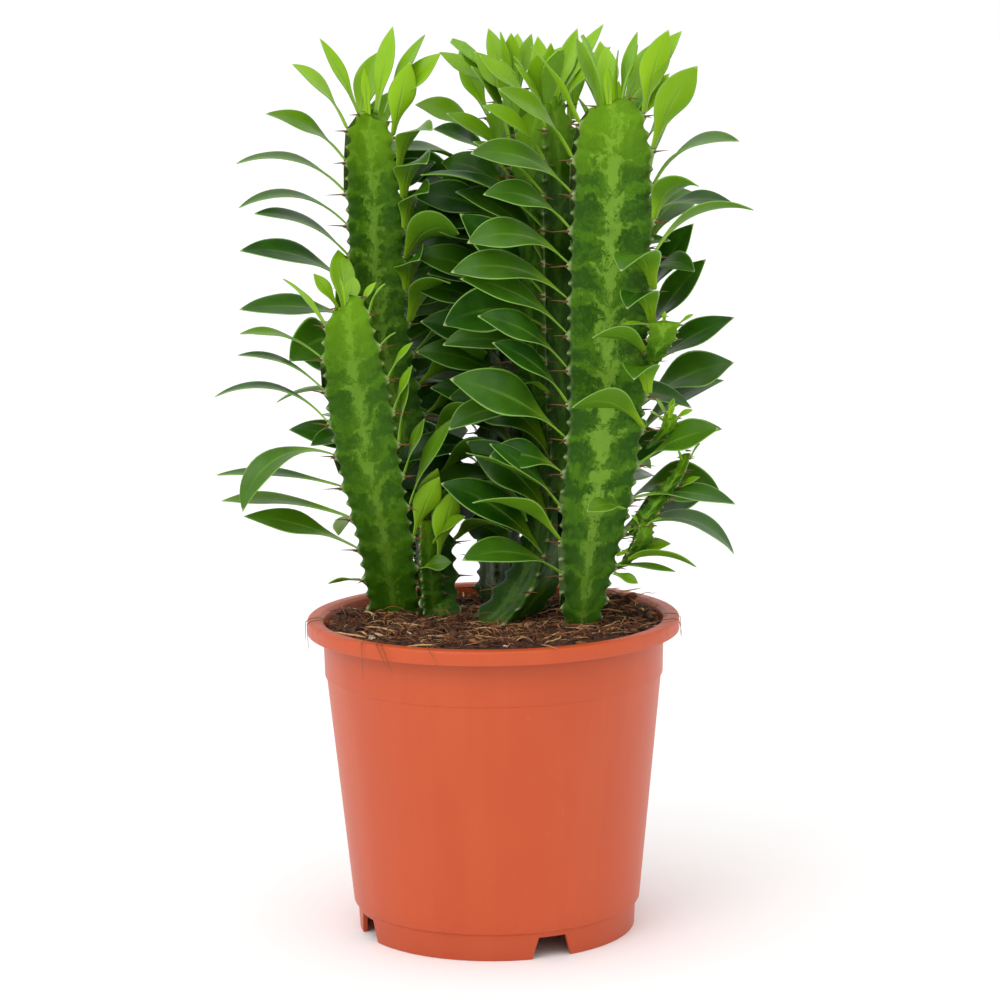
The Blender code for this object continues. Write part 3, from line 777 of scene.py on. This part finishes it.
# stem, rib, tooth from the top, length, width, and degrees: swing off the rib, rise at the stalk, bend to
# the tip, turn about the midrib
leaves = [
    ("frontLeft", "a", 0, 29, 9, -6, 60, 25, 0),
    ("frontLeft", "a", 1, 40, 12, -16, 44, 50, -15),
    ("frontLeft", "a", 2, 43, 12, -20, 50, 50, -15),
    ("frontLeft", "a", 3, 56, 12, -26, 56, 80, -10),
    ("frontLeft", "a", 4, 56, 17, -16, 26, 105, -34),
    ("frontLeft", "a", 5, 56, 15, -32, 18, 22, -10),
    ("frontLeft", "a", 6, 58, 15, -34, 22, 26, -20),
    ("frontLeft", "a", 7, 53, 17, -30, 30, 24, -40),
    ("frontLeft", "b", 0, 15, 5, 4, 82, 44, 20, 0.1),
    ("frontLeft", "b", 1, 9, 3, 10, 50, 20, 0, 0.2),
    ("frontLeft", "b", 2, 20, 6, 5, 66, 24, 50, 0.3),
    ("frontLeft", "b", 3, 22, 7, 5, 72, 10, 60, 0.4),
    ("frontLeft", "b", 4, 34, 8, 5, 84, 4, 60, 0.6),
    ("frontLeft", "b", 5, 27, 8, 6, 74, 10, 60, 0.7),
    ("frontLeft", "b", 6, 45, 10, 14, 74, 22, 60, 0.8),
    ("frontLeft", "b", 7, 30, 14, 6, 74, 16, -70, 0.3),
    ("tallLeft", "a", 0, 39, 15, -22, 68, 36, -45),
    ("tallLeft", "a", 1, 43, 15, -28, 56, 48, -40),
    ("tallLeft", "a", 2, 54, 15, -32, 52, 70, -15),
    ("tallLeft", "a", 3, 53, 15, -32, 50, 78, -15),
    ("tallLeft", "a", 4, 48, 17, -30, 52, 52, -25),
    ("tallLeft", "a", 5, 54, 19, -32, 44, 48, -40),
    ("tallLeft", "a", 6, 52, 18, -34, 18, 24, -40),
    ("tallLeft", "a", 11, 50, 18, -50, 48, 48, -50),
    ("tallLeft", "b", 0, 34, 14, -15, 77, 6, -65),
    ("tallLeft", "b", 1, 36, 17, -40, 84, 100, 20),
    ("tallLeft", "b", 2, 36, 20, -50, 86, 105, 25),
    ("tallLeft", "b", 3, 36, 18, -50, 86, 100, 40),
    ("tallLeft", "b", 4, 42, 22, -30, 70, 95, -50),
    ("tallLeft", "b", 5, 34, 20, -60, 84, 100, 40),
    ("tallLeft", "b", 6, 42, 18, -40, 72, 80, -10),
    ("tallLeft", "b", 7, 42, 20, 10, 50, 46, -50),
    ("tallLeft", "b", 8, 38, 22, -10, 40, 30, -60),
    ("tallLeft", "b", 9, 38, 18, -10, 36, 20, -55),
    ("tallRight", "a", 0, 41, 10, -2, 64, 20, -20),
    ("tallRight", "a", 1, 47, 17, -10, 64, 44, -50),
    ("tallRight", "a", 2, 50, 20, -20, 52, 58, -52),
    ("tallRight", "a", 3, 44, 18, -16, 54, 62, -50),
    ("tallRight", "a", 4, 49, 21, -20, 50, 72, -52),
    ("tallRight", "a", 5, 55, 20, -24, 46, 62, -55),
    ("tallRight", "a", 6, 54, 17, -24, 50, 42, -55),
    ("tallRight", "a", 7, 48, 18, -18, 54, 44, -55),
    ("tallRight", "a", 8, 45, 16, -14, 60, 40, -60),
    ("tallRight", "a", 9, 58, 25, -24, 46, 34, -66),
    ("tallRight", "a", 10, 34, 18, -24, 40, 50, -60),
    ("tallRight", "a", 11, 44, 14, -14, 56, 26, -50),
    ("tallRight", "b", 0, 38, 15, -10, 80, 18, -40),
    ("tallRight", "b", 1, 42, 18, -6, 72, 26, -50),
    ("tallRight", "b", 2, 46, 20, 4, 64, 74, 20),
    ("tallRight", "b", 3, 34, 20, -20, 82, 100, -20),
    ("tallRight", "b", 4, 52, 19, 10, 64, 78, -15),
    ("tallRight", "b", 5, 42, 22, -92, 84, 128, 0),
    ("tallRight", "b", 6, 38, 18, -88, 84, 128, 0),
    ("tallRight", "b", 7, 40, 14, -110, 52, 64, 30),
    ("tallRight", "b", 8, 34, 18, -80, 84, 125, 0),
    ("tallRight", "b", 9, 48, 18, -112, 52, 68, 40),
    ("tallRight", "b", 10, 41, 20, 0, 38, 26, 50),
    ("tallRight", "b", 11, 46, 16, 8, 16, 34, 25),
    ("rearRight", "b", 2, 38, 16, 4, 28, 40, 25),
    ("rearRight", "b", 5, 46, 20, -6, 68, 16, 62),
    ("rearRight", "b", 6, 48, 20, -2, 60, 14, 58),
    ("rearRight", "b", 7, 50, 18, 8, 44, 24, 45),
    ("middle", "c", 1, 38, 14, 34, 60, 40, -40),
    ("middle", "c", 4, 46, 19, 30, 52, 50, -50),
    ("middle", "c", 5, 48, 20, 36, 46, 44, -56),
    ("middle", "c", 6, 50, 20, 28, 50, 54, -50),
    ("middle", "c", 7, 46, 21, 34, 44, 40, -58),
    ("middle", "c", 8, 50, 20, 30, 48, 50, -52),
    ("middle", "c", 9, 44, 19, 34, 46, 44, -50),
    ("tallLeft", "c", 3, 44, 18, -84, 58, 46, 50),
    ("tallLeft", "c", 4, 48, 20, -90, 54, 52, 56),
    ("tallLeft", "c", 5, 50, 21, -84, 50, 48, 60),
    ("tallLeft", "c", 6, 48, 20, -92, 54, 54, 54),
    ("tallLeft", "c", 7, 50, 21, -86, 50, 50, 58),
    ("tallLeft", "c", 8, 46, 20, -90, 52, 46, 54),
]
# stem, bearing, distance from the crown's middle, length, width, rise, bend, turn
crownLeaves = [
    ("tallLeft", -100, 6.0, 38, 9, 70, 12, -40),
    ("tallLeft", -26, 3.0, 21, 5, 84, 4, 30),
    ("tallLeft", 122, 3.0, 40, 11, 80, 6, 40),
    ("tallLeft", 96, 6.0, 40, 12, 68, 12, 30),
    ("tallLeft", 90, 8.0, 36, 14, 56, 14, 55),
    ("tallRight", -106, 6.0, 32, 9, 76, 8, -40),
    ("tallRight", -18, 4.0, 18, 5, 84, 4, 30),
    ("tallRight", 40, 2.0, 25, 8, 86, 4, 50),
    ("tallRight", 96, 4.0, 33, 9, 80, 6, 40),
    ("tallRight", 80, 7.0, 40, 14, 58, 8, 60),
    ("tallRight", -176, 9.0, 29, 11, 70, 12, 0),
    ("tallRight", 130, 8.0, 34, 12, 62, 14, 40),
    ("middle", -20, 3.0, 25, 14, 78, 14, 10),
    ("middle", 120, 5.0, 36, 10, 76, 10, 60),
    ("middle", 108, 5.0, 42, 11, 64, 12, 30),
    ("middle", 86, 7.0, 34, 12, 58, 16, 50),
    ("middle", 12, 4.0, 29, 9, 80, 8, 0),
    ("middle", -44, 4.0, 28, 10, 64, 20, -40),
    ("middle", -166, 4.0, 32, 11, 78, 8, 0),
    ("middle", -100, 6.0, 33, 10, 52, 16, -50),
    ("rearMiddle", -136, 3.0, 32, 10, 72, 8, -45),
    ("rearMiddle", -32, 3.0, 29, 9, 80, 6, -30),
    ("rearMiddle", -2, 3.0, 28, 10, 84, 6, 0),
    ("rearMiddle", -104, 6.0, 34, 11, 42, 14, -45),
    ("rearMiddle", -88, 5.0, 27, 11, 54, 14, -50),
    ("rearMiddle", 118, 3.0, 28, 10, 78, 6, 30),
    ("rearMiddle", 170, 4.0, 30, 11, 70, 10, 0),
    ("frontLeft", -98, 5.0, 19, 8, 60, 8, -50),
    ("frontLeft", -60, 2.0, 14, 4, 84, 4, 0),
    ("frontLeft", 170, 3.0, 16, 9, 64, 12, 0),
    ("frontLeft", 90, 5.0, 14, 5, 70, 24, 50),
    ("rearRight", 70, 4.0, 36, 11, 76, 8, 20),
    ("rearRight", 100, 4.0, 37, 12, 62, 14, 50),
    ("rearRight", -60, 3.0, 32, 11, 72, 12, -30),
    ("rearRight", 10, 3.0, 28, 9, 82, 6, 20),
    ("rearRight", 180, 3.0, 33, 11, 68, 14, 0),
]
# stem, height, bearing and distance of the stalk's foot, bearing of the blade, length, width, rise,
# bend, turn and age (0 young, 1 grown)
shootLeaves = [
    ("upperShoot", 280, -70, 7.0, -84, 12, 3.6, 14, 24, -30, 0.1),
    ("upperShoot", 280, 62, 7.0, 80, 8, 3.4, 40, 10, 30, 0.1),
    ("upperShoot", 281, 0, 1.0, 10, 5, 2.4, 80, 10, 0, 0.0),
    ("budShoot", 237, -60, 3.0, -60, 8, 3.6, 50, 30, -20, 0.1),
    ("budShoot", 238, 10, 2.5, 20, 8, 3.8, 70, 20, 10, 0.1),
    ("budShoot", 237, 80, 3.0, 85, 9, 4.0, 46, 30, 40, 0.2),
    ("budShoot", 239, 160, 2.0, 150, 8, 3.6, 72, 20, 0, 0.1),
    ("budShoot", 239, -140, 2.0, -120, 9, 3.8, 66, 20, 0, 0.2),
    ("sideShoot", 219, 70, 2.0, 60, 9, 3.4, 70, 24, 30, 0.1),
    ("sideShoot", 219, -80, 2.0, -50, 7, 3.0, 74, 24, -30, 0.1),
    ("sideShoot", 205, 90, 4.0, 84, 12, 4.6, 48, 30, 40, 0.3),
    ("lowShoot", 190, 40, 2.0, 70, 8, 3.4, 60, 60, 30, 0.1),
    ("lowShoot", 190, -100, 2.0, -90, 6, 3.0, 70, 30, -30, 0.1),
    ("baseShoot", 168, 76, 6.0, 74, 34, 15, 80, 8, -62, 0.15),
    ("baseShoot", 183, -40, 3.0, 78, 29, 13, 78, 10, -62, 0.25),
    ("baseShoot", 178, 150, 4.0, 100, 26, 14, 74, 20, -50, 0.3),
    ("baseShoot", 165, -30, 6.0, 82, 15, 9.5, 22, 20, 60, 0.8),
    ("baseShoot", 176, 60, 5.0, 60, 22, 9, 60, 40, 50, 0.5),
    ("tallRight", 176, 52, 15.5, 100, 25, 9, 24, 26, 50, 0.4),
    ("tallRight", 172, 52, 15.0, 92, 27, 5, 2, 18, 40, 0.6),
    ("tallRight", 168, 52, 14.5, 74, 12, 6, -8, 20, 50, 0.5),
    ("tallRight", 198, 40, 19.5, -40, 26, 11, 26, 40, -40, 0.7),
    ("frontLeft", 159, -62, 14.6, -84, 15, 6, 8, 24, 30, 0.9),
]


def halfWidth(along, width):
    # a narrow stalk that opens into an oval blade
    body = leafShape["petiole"] + (1.0 - leafShape["petiole"]) * smoothStep(0.06, 0.6, along)
    tip = max(1.0 - max((along - 0.44) / 0.56, 0.0) ** 2.2, 0.0) ** 0.78
    return max(width / 2.0, 0.0) * max(body, min(4.4 / max(width, 3.0), 0.6)) * tip


def leafPoint(leaf, along, side, flat=False):
    # a point on the blade: along 0 to 1 from stalk to tip, side -1 to 1 across
    start, fall = math.radians(leaf["rise"]), math.radians(-leaf["bend"] or -0.01)
    ahead, across = direction(leaf["bearing"]), direction(leaf["bearing"] + 90.0)
    slope = start + fall * along
    reach = leaf["length"] * (math.sin(slope) - math.sin(start)) / fall
    climb = leaf["length"] * (math.cos(start) - math.cos(slope)) / fall
    normal = up * math.cos(slope) - ahead * math.sin(slope)
    roll = math.radians(leaf["turn"]) * smoothStep(0.0, 0.8, along)
    half = halfWidth(along, leaf["width"])
    wing = across * math.cos(roll) + normal * math.sin(roll)
    face = normal * math.cos(roll) - across * math.sin(roll)
    curl = leafShape["fold"] * leaf.get("fold", 1.0) * half * (0.45 * abs(side) + 0.55 * side * side)
    ripple = 0.0 if flat else math.sin(along * 9.0 + leaf["seed"] * 6.0)
    wave = leaf["wave"] * half * side * ripple * abs(side)
    return leaf["base"] + ahead * reach + up * climb + wing * side * half + face * (curl + wave)


def makeLeafMaterials():
    made = []
    for name, under in (("leafUpper", False), ("leafUnder", True)):
        material, wire, place = startMaterial(name)
        along = attribute(wire, "along")
        across = attribute(wire, "across")
        age = attribute(wire, "age")
        tint = attribute(wire, "tint")
        heart = attribute(wire, "heart")
        cloud = place.noise(70.0, 3.0, 0.55)
        fine = place.noise(900.0, 3.0, 0.6)
        side = across.math("ABSOLUTE", across)
        vein = (along * 21.0 - side * 4.5 + cloud * 5.0).distanceTo(0.5).step(0.1, 0.5)
        grown = cloud.step(0.3, 0.7).mix(colour(20, 64, 2), colour(42, 90, 6))
        grown = (tint * tint * 0.35).mix(grown, colour(98, 146, 24))
        young = cloud.mix(colour(124, 174, 0), colour(152, 200, 22))
        if under:
            grown = (0.55 + cloud * 0.3).mix(grown, colour(100, 148, 20))
            young = (0.3 + cloud * 0.3).mix(young, colour(152, 198, 30))
        base = age.mix(young, grown)
        base = (vein * 0.025).mix(base, colour(112, 160, 70))
        middle = side.step(0.55, 0.0) * along.step(1.0, 0.3)
        base = (middle * (0.22 if under else 0.08)).mix(base, colour(112, 156, 52))
        stalk = along.step(0.42, 0.06)
        base = (stalk * 0.85).mix(base, colour(150, 192, 30))
        midrib = side.step(0.12, 0.02) * along.step(1.0, 0.3)
        base = (midrib * 0.35).mix(base, colour(138, 178, 70))
        point = along.step(0.975, 1.0)
        base = (point * 0.6).mix(base, colour(206, 212, 150))
        margin = side.step(0.95, 1.0)
        base = (margin * 0.3).mix(base, colour(150, 186, 96))
        # painted shade: leaves deep among the stems are multiplied darker, and their coat sheen is taken
        # away there
        base = (heart * (1.0 - stalk * 0.5)).mix(base, colour(*paintedHeartShade["shade"]), "MULTIPLY")
        rough = 0.28 + fine * 0.08 + cloud * 0.08 + (0.16 if under else 0.0)
        height = vein * 0.05 + midrib * -0.8 + fine * 0.12 + cloud * 0.4
        endMaterial(wire, base, rough, height, 0.35, Specular_IOR_Level=0.12,
                    Coat_Weight=(1.0 - heart) * (0.1 if under else 0.35), Coat_Roughness=0.3)
        made.append(material)
    material, wire, place = startMaterial("leafEdge")
    heart = attribute(wire, "heart")
    cloud = place.noise(300.0, 3.0, 0.6)
    base = cloud.mix(colour(104, 150, 48), colour(134, 176, 74))
    # painted shade: leaf rims deep among the stems are multiplied darker
    base = heart.mix(base, colour(*paintedHeartShade["shade"]), "MULTIPLY")
    endMaterial(wire, base, 0.45 + cloud * 0.1)
    made.append(material)
    return made


def addLeaf(bm, leaf, layers):
    made = bmesh.ops.create_grid(bm, x_segments=leafShape["along"], y_segments=leafShape["across"],
                                 size=0.5)
    for vert in made["verts"]:
        along = 1.0 - (0.5 - vert.co.x) ** 1.35
        side = vert.co.y * 2.0
        vert.co = leafPoint(leaf, 1.03 if along > 0.999 else along, side)
        values = dict(along=along, across=side, age=leaf["age"], tint=leaf["tint"], heart=paintedShadeFactor(vert.co))
        for name, value in values.items():
            vert[layers[name]] = value


def boxAndTree(spots, quads):
    low = Vector(min(spot[k] for spot in spots) for k in range(3))
    high = Vector(max(spot[k] for spot in spots) for k in range(3))
    return low, high, BVHTree.FromPolygons(spots, quads)


def leafTree(leaf):
    # a coarse copy of the blade, for finding leaves that would touch
    spots = [leafPoint(leaf, 0.12 + 0.88 * i / 8.0, j / 2.0 - 1.0, True)
             for i in range(9) for j in range(5)]
    quads = [(i * 5 + j, i * 5 + j + 1, i * 5 + j + 6, i * 5 + j + 5) for i in range(8) for j in range(4)]
    return boxAndTree(spots, quads)


def stemTree(stem):
    rows = 90
    low = (stem["teeth"] - 145.0) / stem["pitch"]
    spots = [stemSurface(stem, j / 4.0, low * (1.0 - i / rows))[0]
             for i in range(rows + 1) for j in range(12)]
    quads = [(i * 12 + j, i * 12 + (j + 1) % 12, (i + 1) * 12 + (j + 1) % 12, (i + 1) * 12 + j)
             for i in range(rows) for j in range(12)]
    return boxAndTree(spots, quads)


def touches(tree, others):
    low, high, blades = tree
    for otherLow, otherHigh, other in others:
        near = all(low[k] < otherHigh[k] and high[k] > otherLow[k] for k in range(3))
        if near and blades.overlap(other):
            return True
    return False


def toothLeaf(draw, name, rib, tooth, length, width, swing, rise, bend, turn, age=None):
    stem = stems[name]
    around = float("abc".index(rib))
    centre, radius = stemAt(stem, toothHeight(stem, around, tooth))
    bearing = ribBearing(stem, rib)
    base = centre + direction(bearing) * (radius + stemShape["tooth"] - leafShape["inset"]) + up * 0.8
    if age is None:
        age = smoothStep(-0.6, 2.6, tooth + draw.uniform(-0.5, 0.5))
        age *= 1.0 - stem.get("young", 0.0) * draw.random()
    return dict(stem=name, base=base, bearing=bearing + swing, length=length, width=width, rise=rise,
                bend=bend, turn=turn, age=age, tint=draw.random(), wave=draw.uniform(0.0, 0.12),
                seed=draw.random(), node=f"{stem['node']}_leaf_{rib}{tooth:02d}")


def crownLeaf(draw, index, name, bearing, distance, length, width, rise, bend, turn):
    stem = stems[name]
    aboveTeeth = stem.get("crown", stemShape["crown"]) * 0.8
    centre, _ = stemAt(stem, stem["teeth"] + aboveTeeth)
    base = centre + direction(bearing) * distance
    return dict(stem=name, base=base, bearing=bearing, length=length, width=width, rise=rise, bend=bend,
                turn=turn, age=draw.uniform(0.0, 0.3), tint=draw.random(), wave=0.05, seed=draw.random(),
                node=f"{stem['node']}_crown_leaf_{index}")


def shootLeaf(draw, name, height, side, out, bearing, length, width, rise, bend, turn, age):
    centre, _ = stemAt(stems.get(name) or shoots[name], height)
    return dict(stem=name, base=centre + direction(side) * out, bearing=bearing, length=length, width=width,
                rise=rise, bend=bend, turn=turn, age=age, tint=draw.random(), wave=0.04,
                seed=draw.random(), node="")


def grownLeaf(draw, name, rib, tooth, size):
    # an unlisted leaf, by the habit of the plant: upright and small at the top, large and arching below
    top = smoothStep(0.0, 3.0, tooth)
    swing, turn = stems[name].get("habit", {}).get(rib, (0.0, 0.0))
    length = (30.0 + 19.0 * top + draw.gauss(0.0, 4.5)) * size
    width = (12.0 + 10.0 * top + draw.gauss(0.0, 2.0)) * size
    rise = 74.0 - 26.0 * top + draw.gauss(0.0, 10.0)
    bend = 20.0 + 34.0 * top + draw.gauss(0.0, 14.0)
    return toothLeaf(draw, name, rib, tooth, length, width, draw.gauss(swing, 22.0), rise, max(bend, 4.0),
                     draw.gauss(turn, 26.0))


def makeLeaves(draw):
    materials = makeLeafMaterials()
    placed = [toothLeaf(draw, *row) for row in leaves]
    placed += [crownLeaf(draw, index, *row) for index, row in enumerate(crownLeaves)]
    placed += [shootLeaf(draw, *row) for row in shootLeaves]
    taken = {leaf["node"] for leaf in placed}
    replaced = {leaf["node"]: leaf["stem"] for leaf in placed if leaf["node"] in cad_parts}
    solid = [stemTree(stem) for stem in stems.values()]
    trees = [leafTree(leaf) for leaf in placed]
    refused = 0
    least = [value / mm - leafShape["room"] for value in cadBox[0]]
    most = [value / mm + leafShape["room"] for value in cadBox[1]]
    for tooth in range(15):
        for name, stem in stems.items():
            for rib in "abc":
                node = f"{stem['node']}_leaf_{rib}{tooth:02d}"
                if node in taken or stem["teeth"] - tooth * stem["pitch"] < leafShape["lowest"]:
                    continue
                for attempt in range(leafShape["attempts"]):
                    size = leafShape["largest"] - leafShape["shrink"] * attempt
                    leaf = grownLeaf(draw, name, rib, tooth, size)
                    tree = leafTree(leaf)
                    if any(tree[0][i] < least[i] or tree[1][i] > most[i] for i in (0, 1)):
                        continue
                    if not touches(tree, solid) and not touches(tree, trees):
                        placed.append(leaf)
                        trees.append(tree)
                        break
                else:
                    refused += 1
    layerNames = ("along", "across", "age", "tint", "heart")
    for name in list(stems) + list(shoots):
        bm = bmesh.new()
        layers = {layer: bm.verts.layers.float.new(layer) for layer in layerNames}
        for leaf in placed:
            if leaf["stem"] == name:
                addLeaf(bm, leaf, layers)
        nodes = [node for node, owner in replaced.items() if owner == name]
        obj = addPiece(name + "Leaves", bm, materials, nodes)
        shell = obj.modifiers.new("thickness", "SOLIDIFY")
        shell.thickness = leafShape["thickness"] * mm
        shell.offset = 0.0
        shell.material_offset = 1
        shell.material_offset_rim = 2
        smooth = obj.modifiers.new("smooth", "SUBSURF")
        smooth.levels = 1
        smooth.render_levels = 1
    print("leaves made:", len(placed), "placed,", refused, "left out for want of room")


stage = dict(radius=30.0, worldLight=1.0, skyPower=0.75, skySpread=60.0, keyPower=6.0, aim=0.1976,
             distance=1.421, height=0.4199, lens=113.95, roll=-0.01328, shift=0.00836)


def makeStage():
    bm = bmesh.new()
    bmesh.ops.create_circle(bm, cap_ends=True, segments=96, radius=stage["radius"])
    mesh = bpy.data.meshes.new("studioFloor")
    bm.to_mesh(mesh)
    bm.free()
    floor = bpy.data.objects.new("studioFloor", mesh)
    bpy.context.scene.collection.objects.link(floor)
    material, wire, place = startMaterial("paperFloor")
    soft = place.noise(3.0, 2.0, 0.5)
    endMaterial(wire, soft.mix(colour(251, 251, 251), colour(254, 254, 254)), 0.9)
    mesh.materials.append(material)


def addSoftLight(name, place, target, size, power):
    data = bpy.data.lights.new(name, "AREA")
    data.shape = "SQUARE"
    data.size = size
    data.energy = power
    lamp = bpy.data.objects.new(name, data)
    bpy.context.scene.collection.objects.link(lamp)
    place = Vector(place)
    look = (Vector(target) - place).to_track_quat("-Z", "Y").to_matrix().to_4x4()
    lamp.matrix_world = Matrix.Translation(place) @ look


def makeLight():
    world = bpy.data.worlds.new("studioWorld")
    bpy.context.scene.world = world
    world.use_nodes = True
    wire = Wire(world.node_tree)
    wire.tree.nodes.clear()
    heading = wire.node("TexCoord", output="Generated")
    high = heading.node("SeparateXYZ", None, {"Vector": heading}, "Z").step(0.1, 0.8)
    white = high.mix(colour(255, 255, 255), colour(246, 246, 246))
    back = wire.node("Background", None, {"Color": white, "Strength": stage["worldLight"]})
    wire.node("OutputWorld", None, {"Surface": back})
    data = bpy.data.lights.new("skylight", "SUN")
    data.energy = stage["skyPower"]
    data.angle = math.radians(stage["skySpread"])
    lamp = bpy.data.objects.new("skylight", data)
    bpy.context.scene.collection.objects.link(lamp)
    lamp.matrix_world = Vector((-0.35, -0.6, 1.5)).to_track_quat("Z", "Y").to_matrix().to_4x4()
    addSoftLight("keyLight", (-1.0, -1.5, 1.6), (0, 0, 0.25), 0.9, stage["keyPower"])


def makeCamera():
    data = bpy.data.cameras.new("studioCamera")
    data.lens = stage["lens"]
    data.sensor_width = 36.0
    data.shift_x = stage["shift"]
    camera = bpy.data.objects.new("studioCamera", data)
    bpy.context.scene.collection.objects.link(camera)
    place = Vector((0.0, -stage["distance"], stage["height"]))
    look = (Vector((0.0, 0.0, stage["aim"])) - place).to_track_quat("-Z", "Y").to_matrix().to_4x4()
    camera.matrix_world = Matrix.Translation(place) @ look @ Matrix.Rotation(stage["roll"], 4, "Z")
    bpy.context.scene.camera = camera
    bpy.context.scene.view_settings.view_transform = "Standard"
    print("floor, light and camera set")


makePot()
makeSoil(random.Random(11))
spineHorn = makeSpineMaterial()
for stemName, stemRow in stems.items():
    makeStem(stemName, stemRow)
    makeSpines(stemName, stemRow, spineHorn, random.Random(stemName))
for stemName, stemRow in shoots.items():
    makeStem(stemName, stemRow)
    makeSpines(stemName, stemRow, spineHorn, random.Random(stemName))
makeLeaves(random.Random(5))
makeStage()
makeLight()
makeCamera()
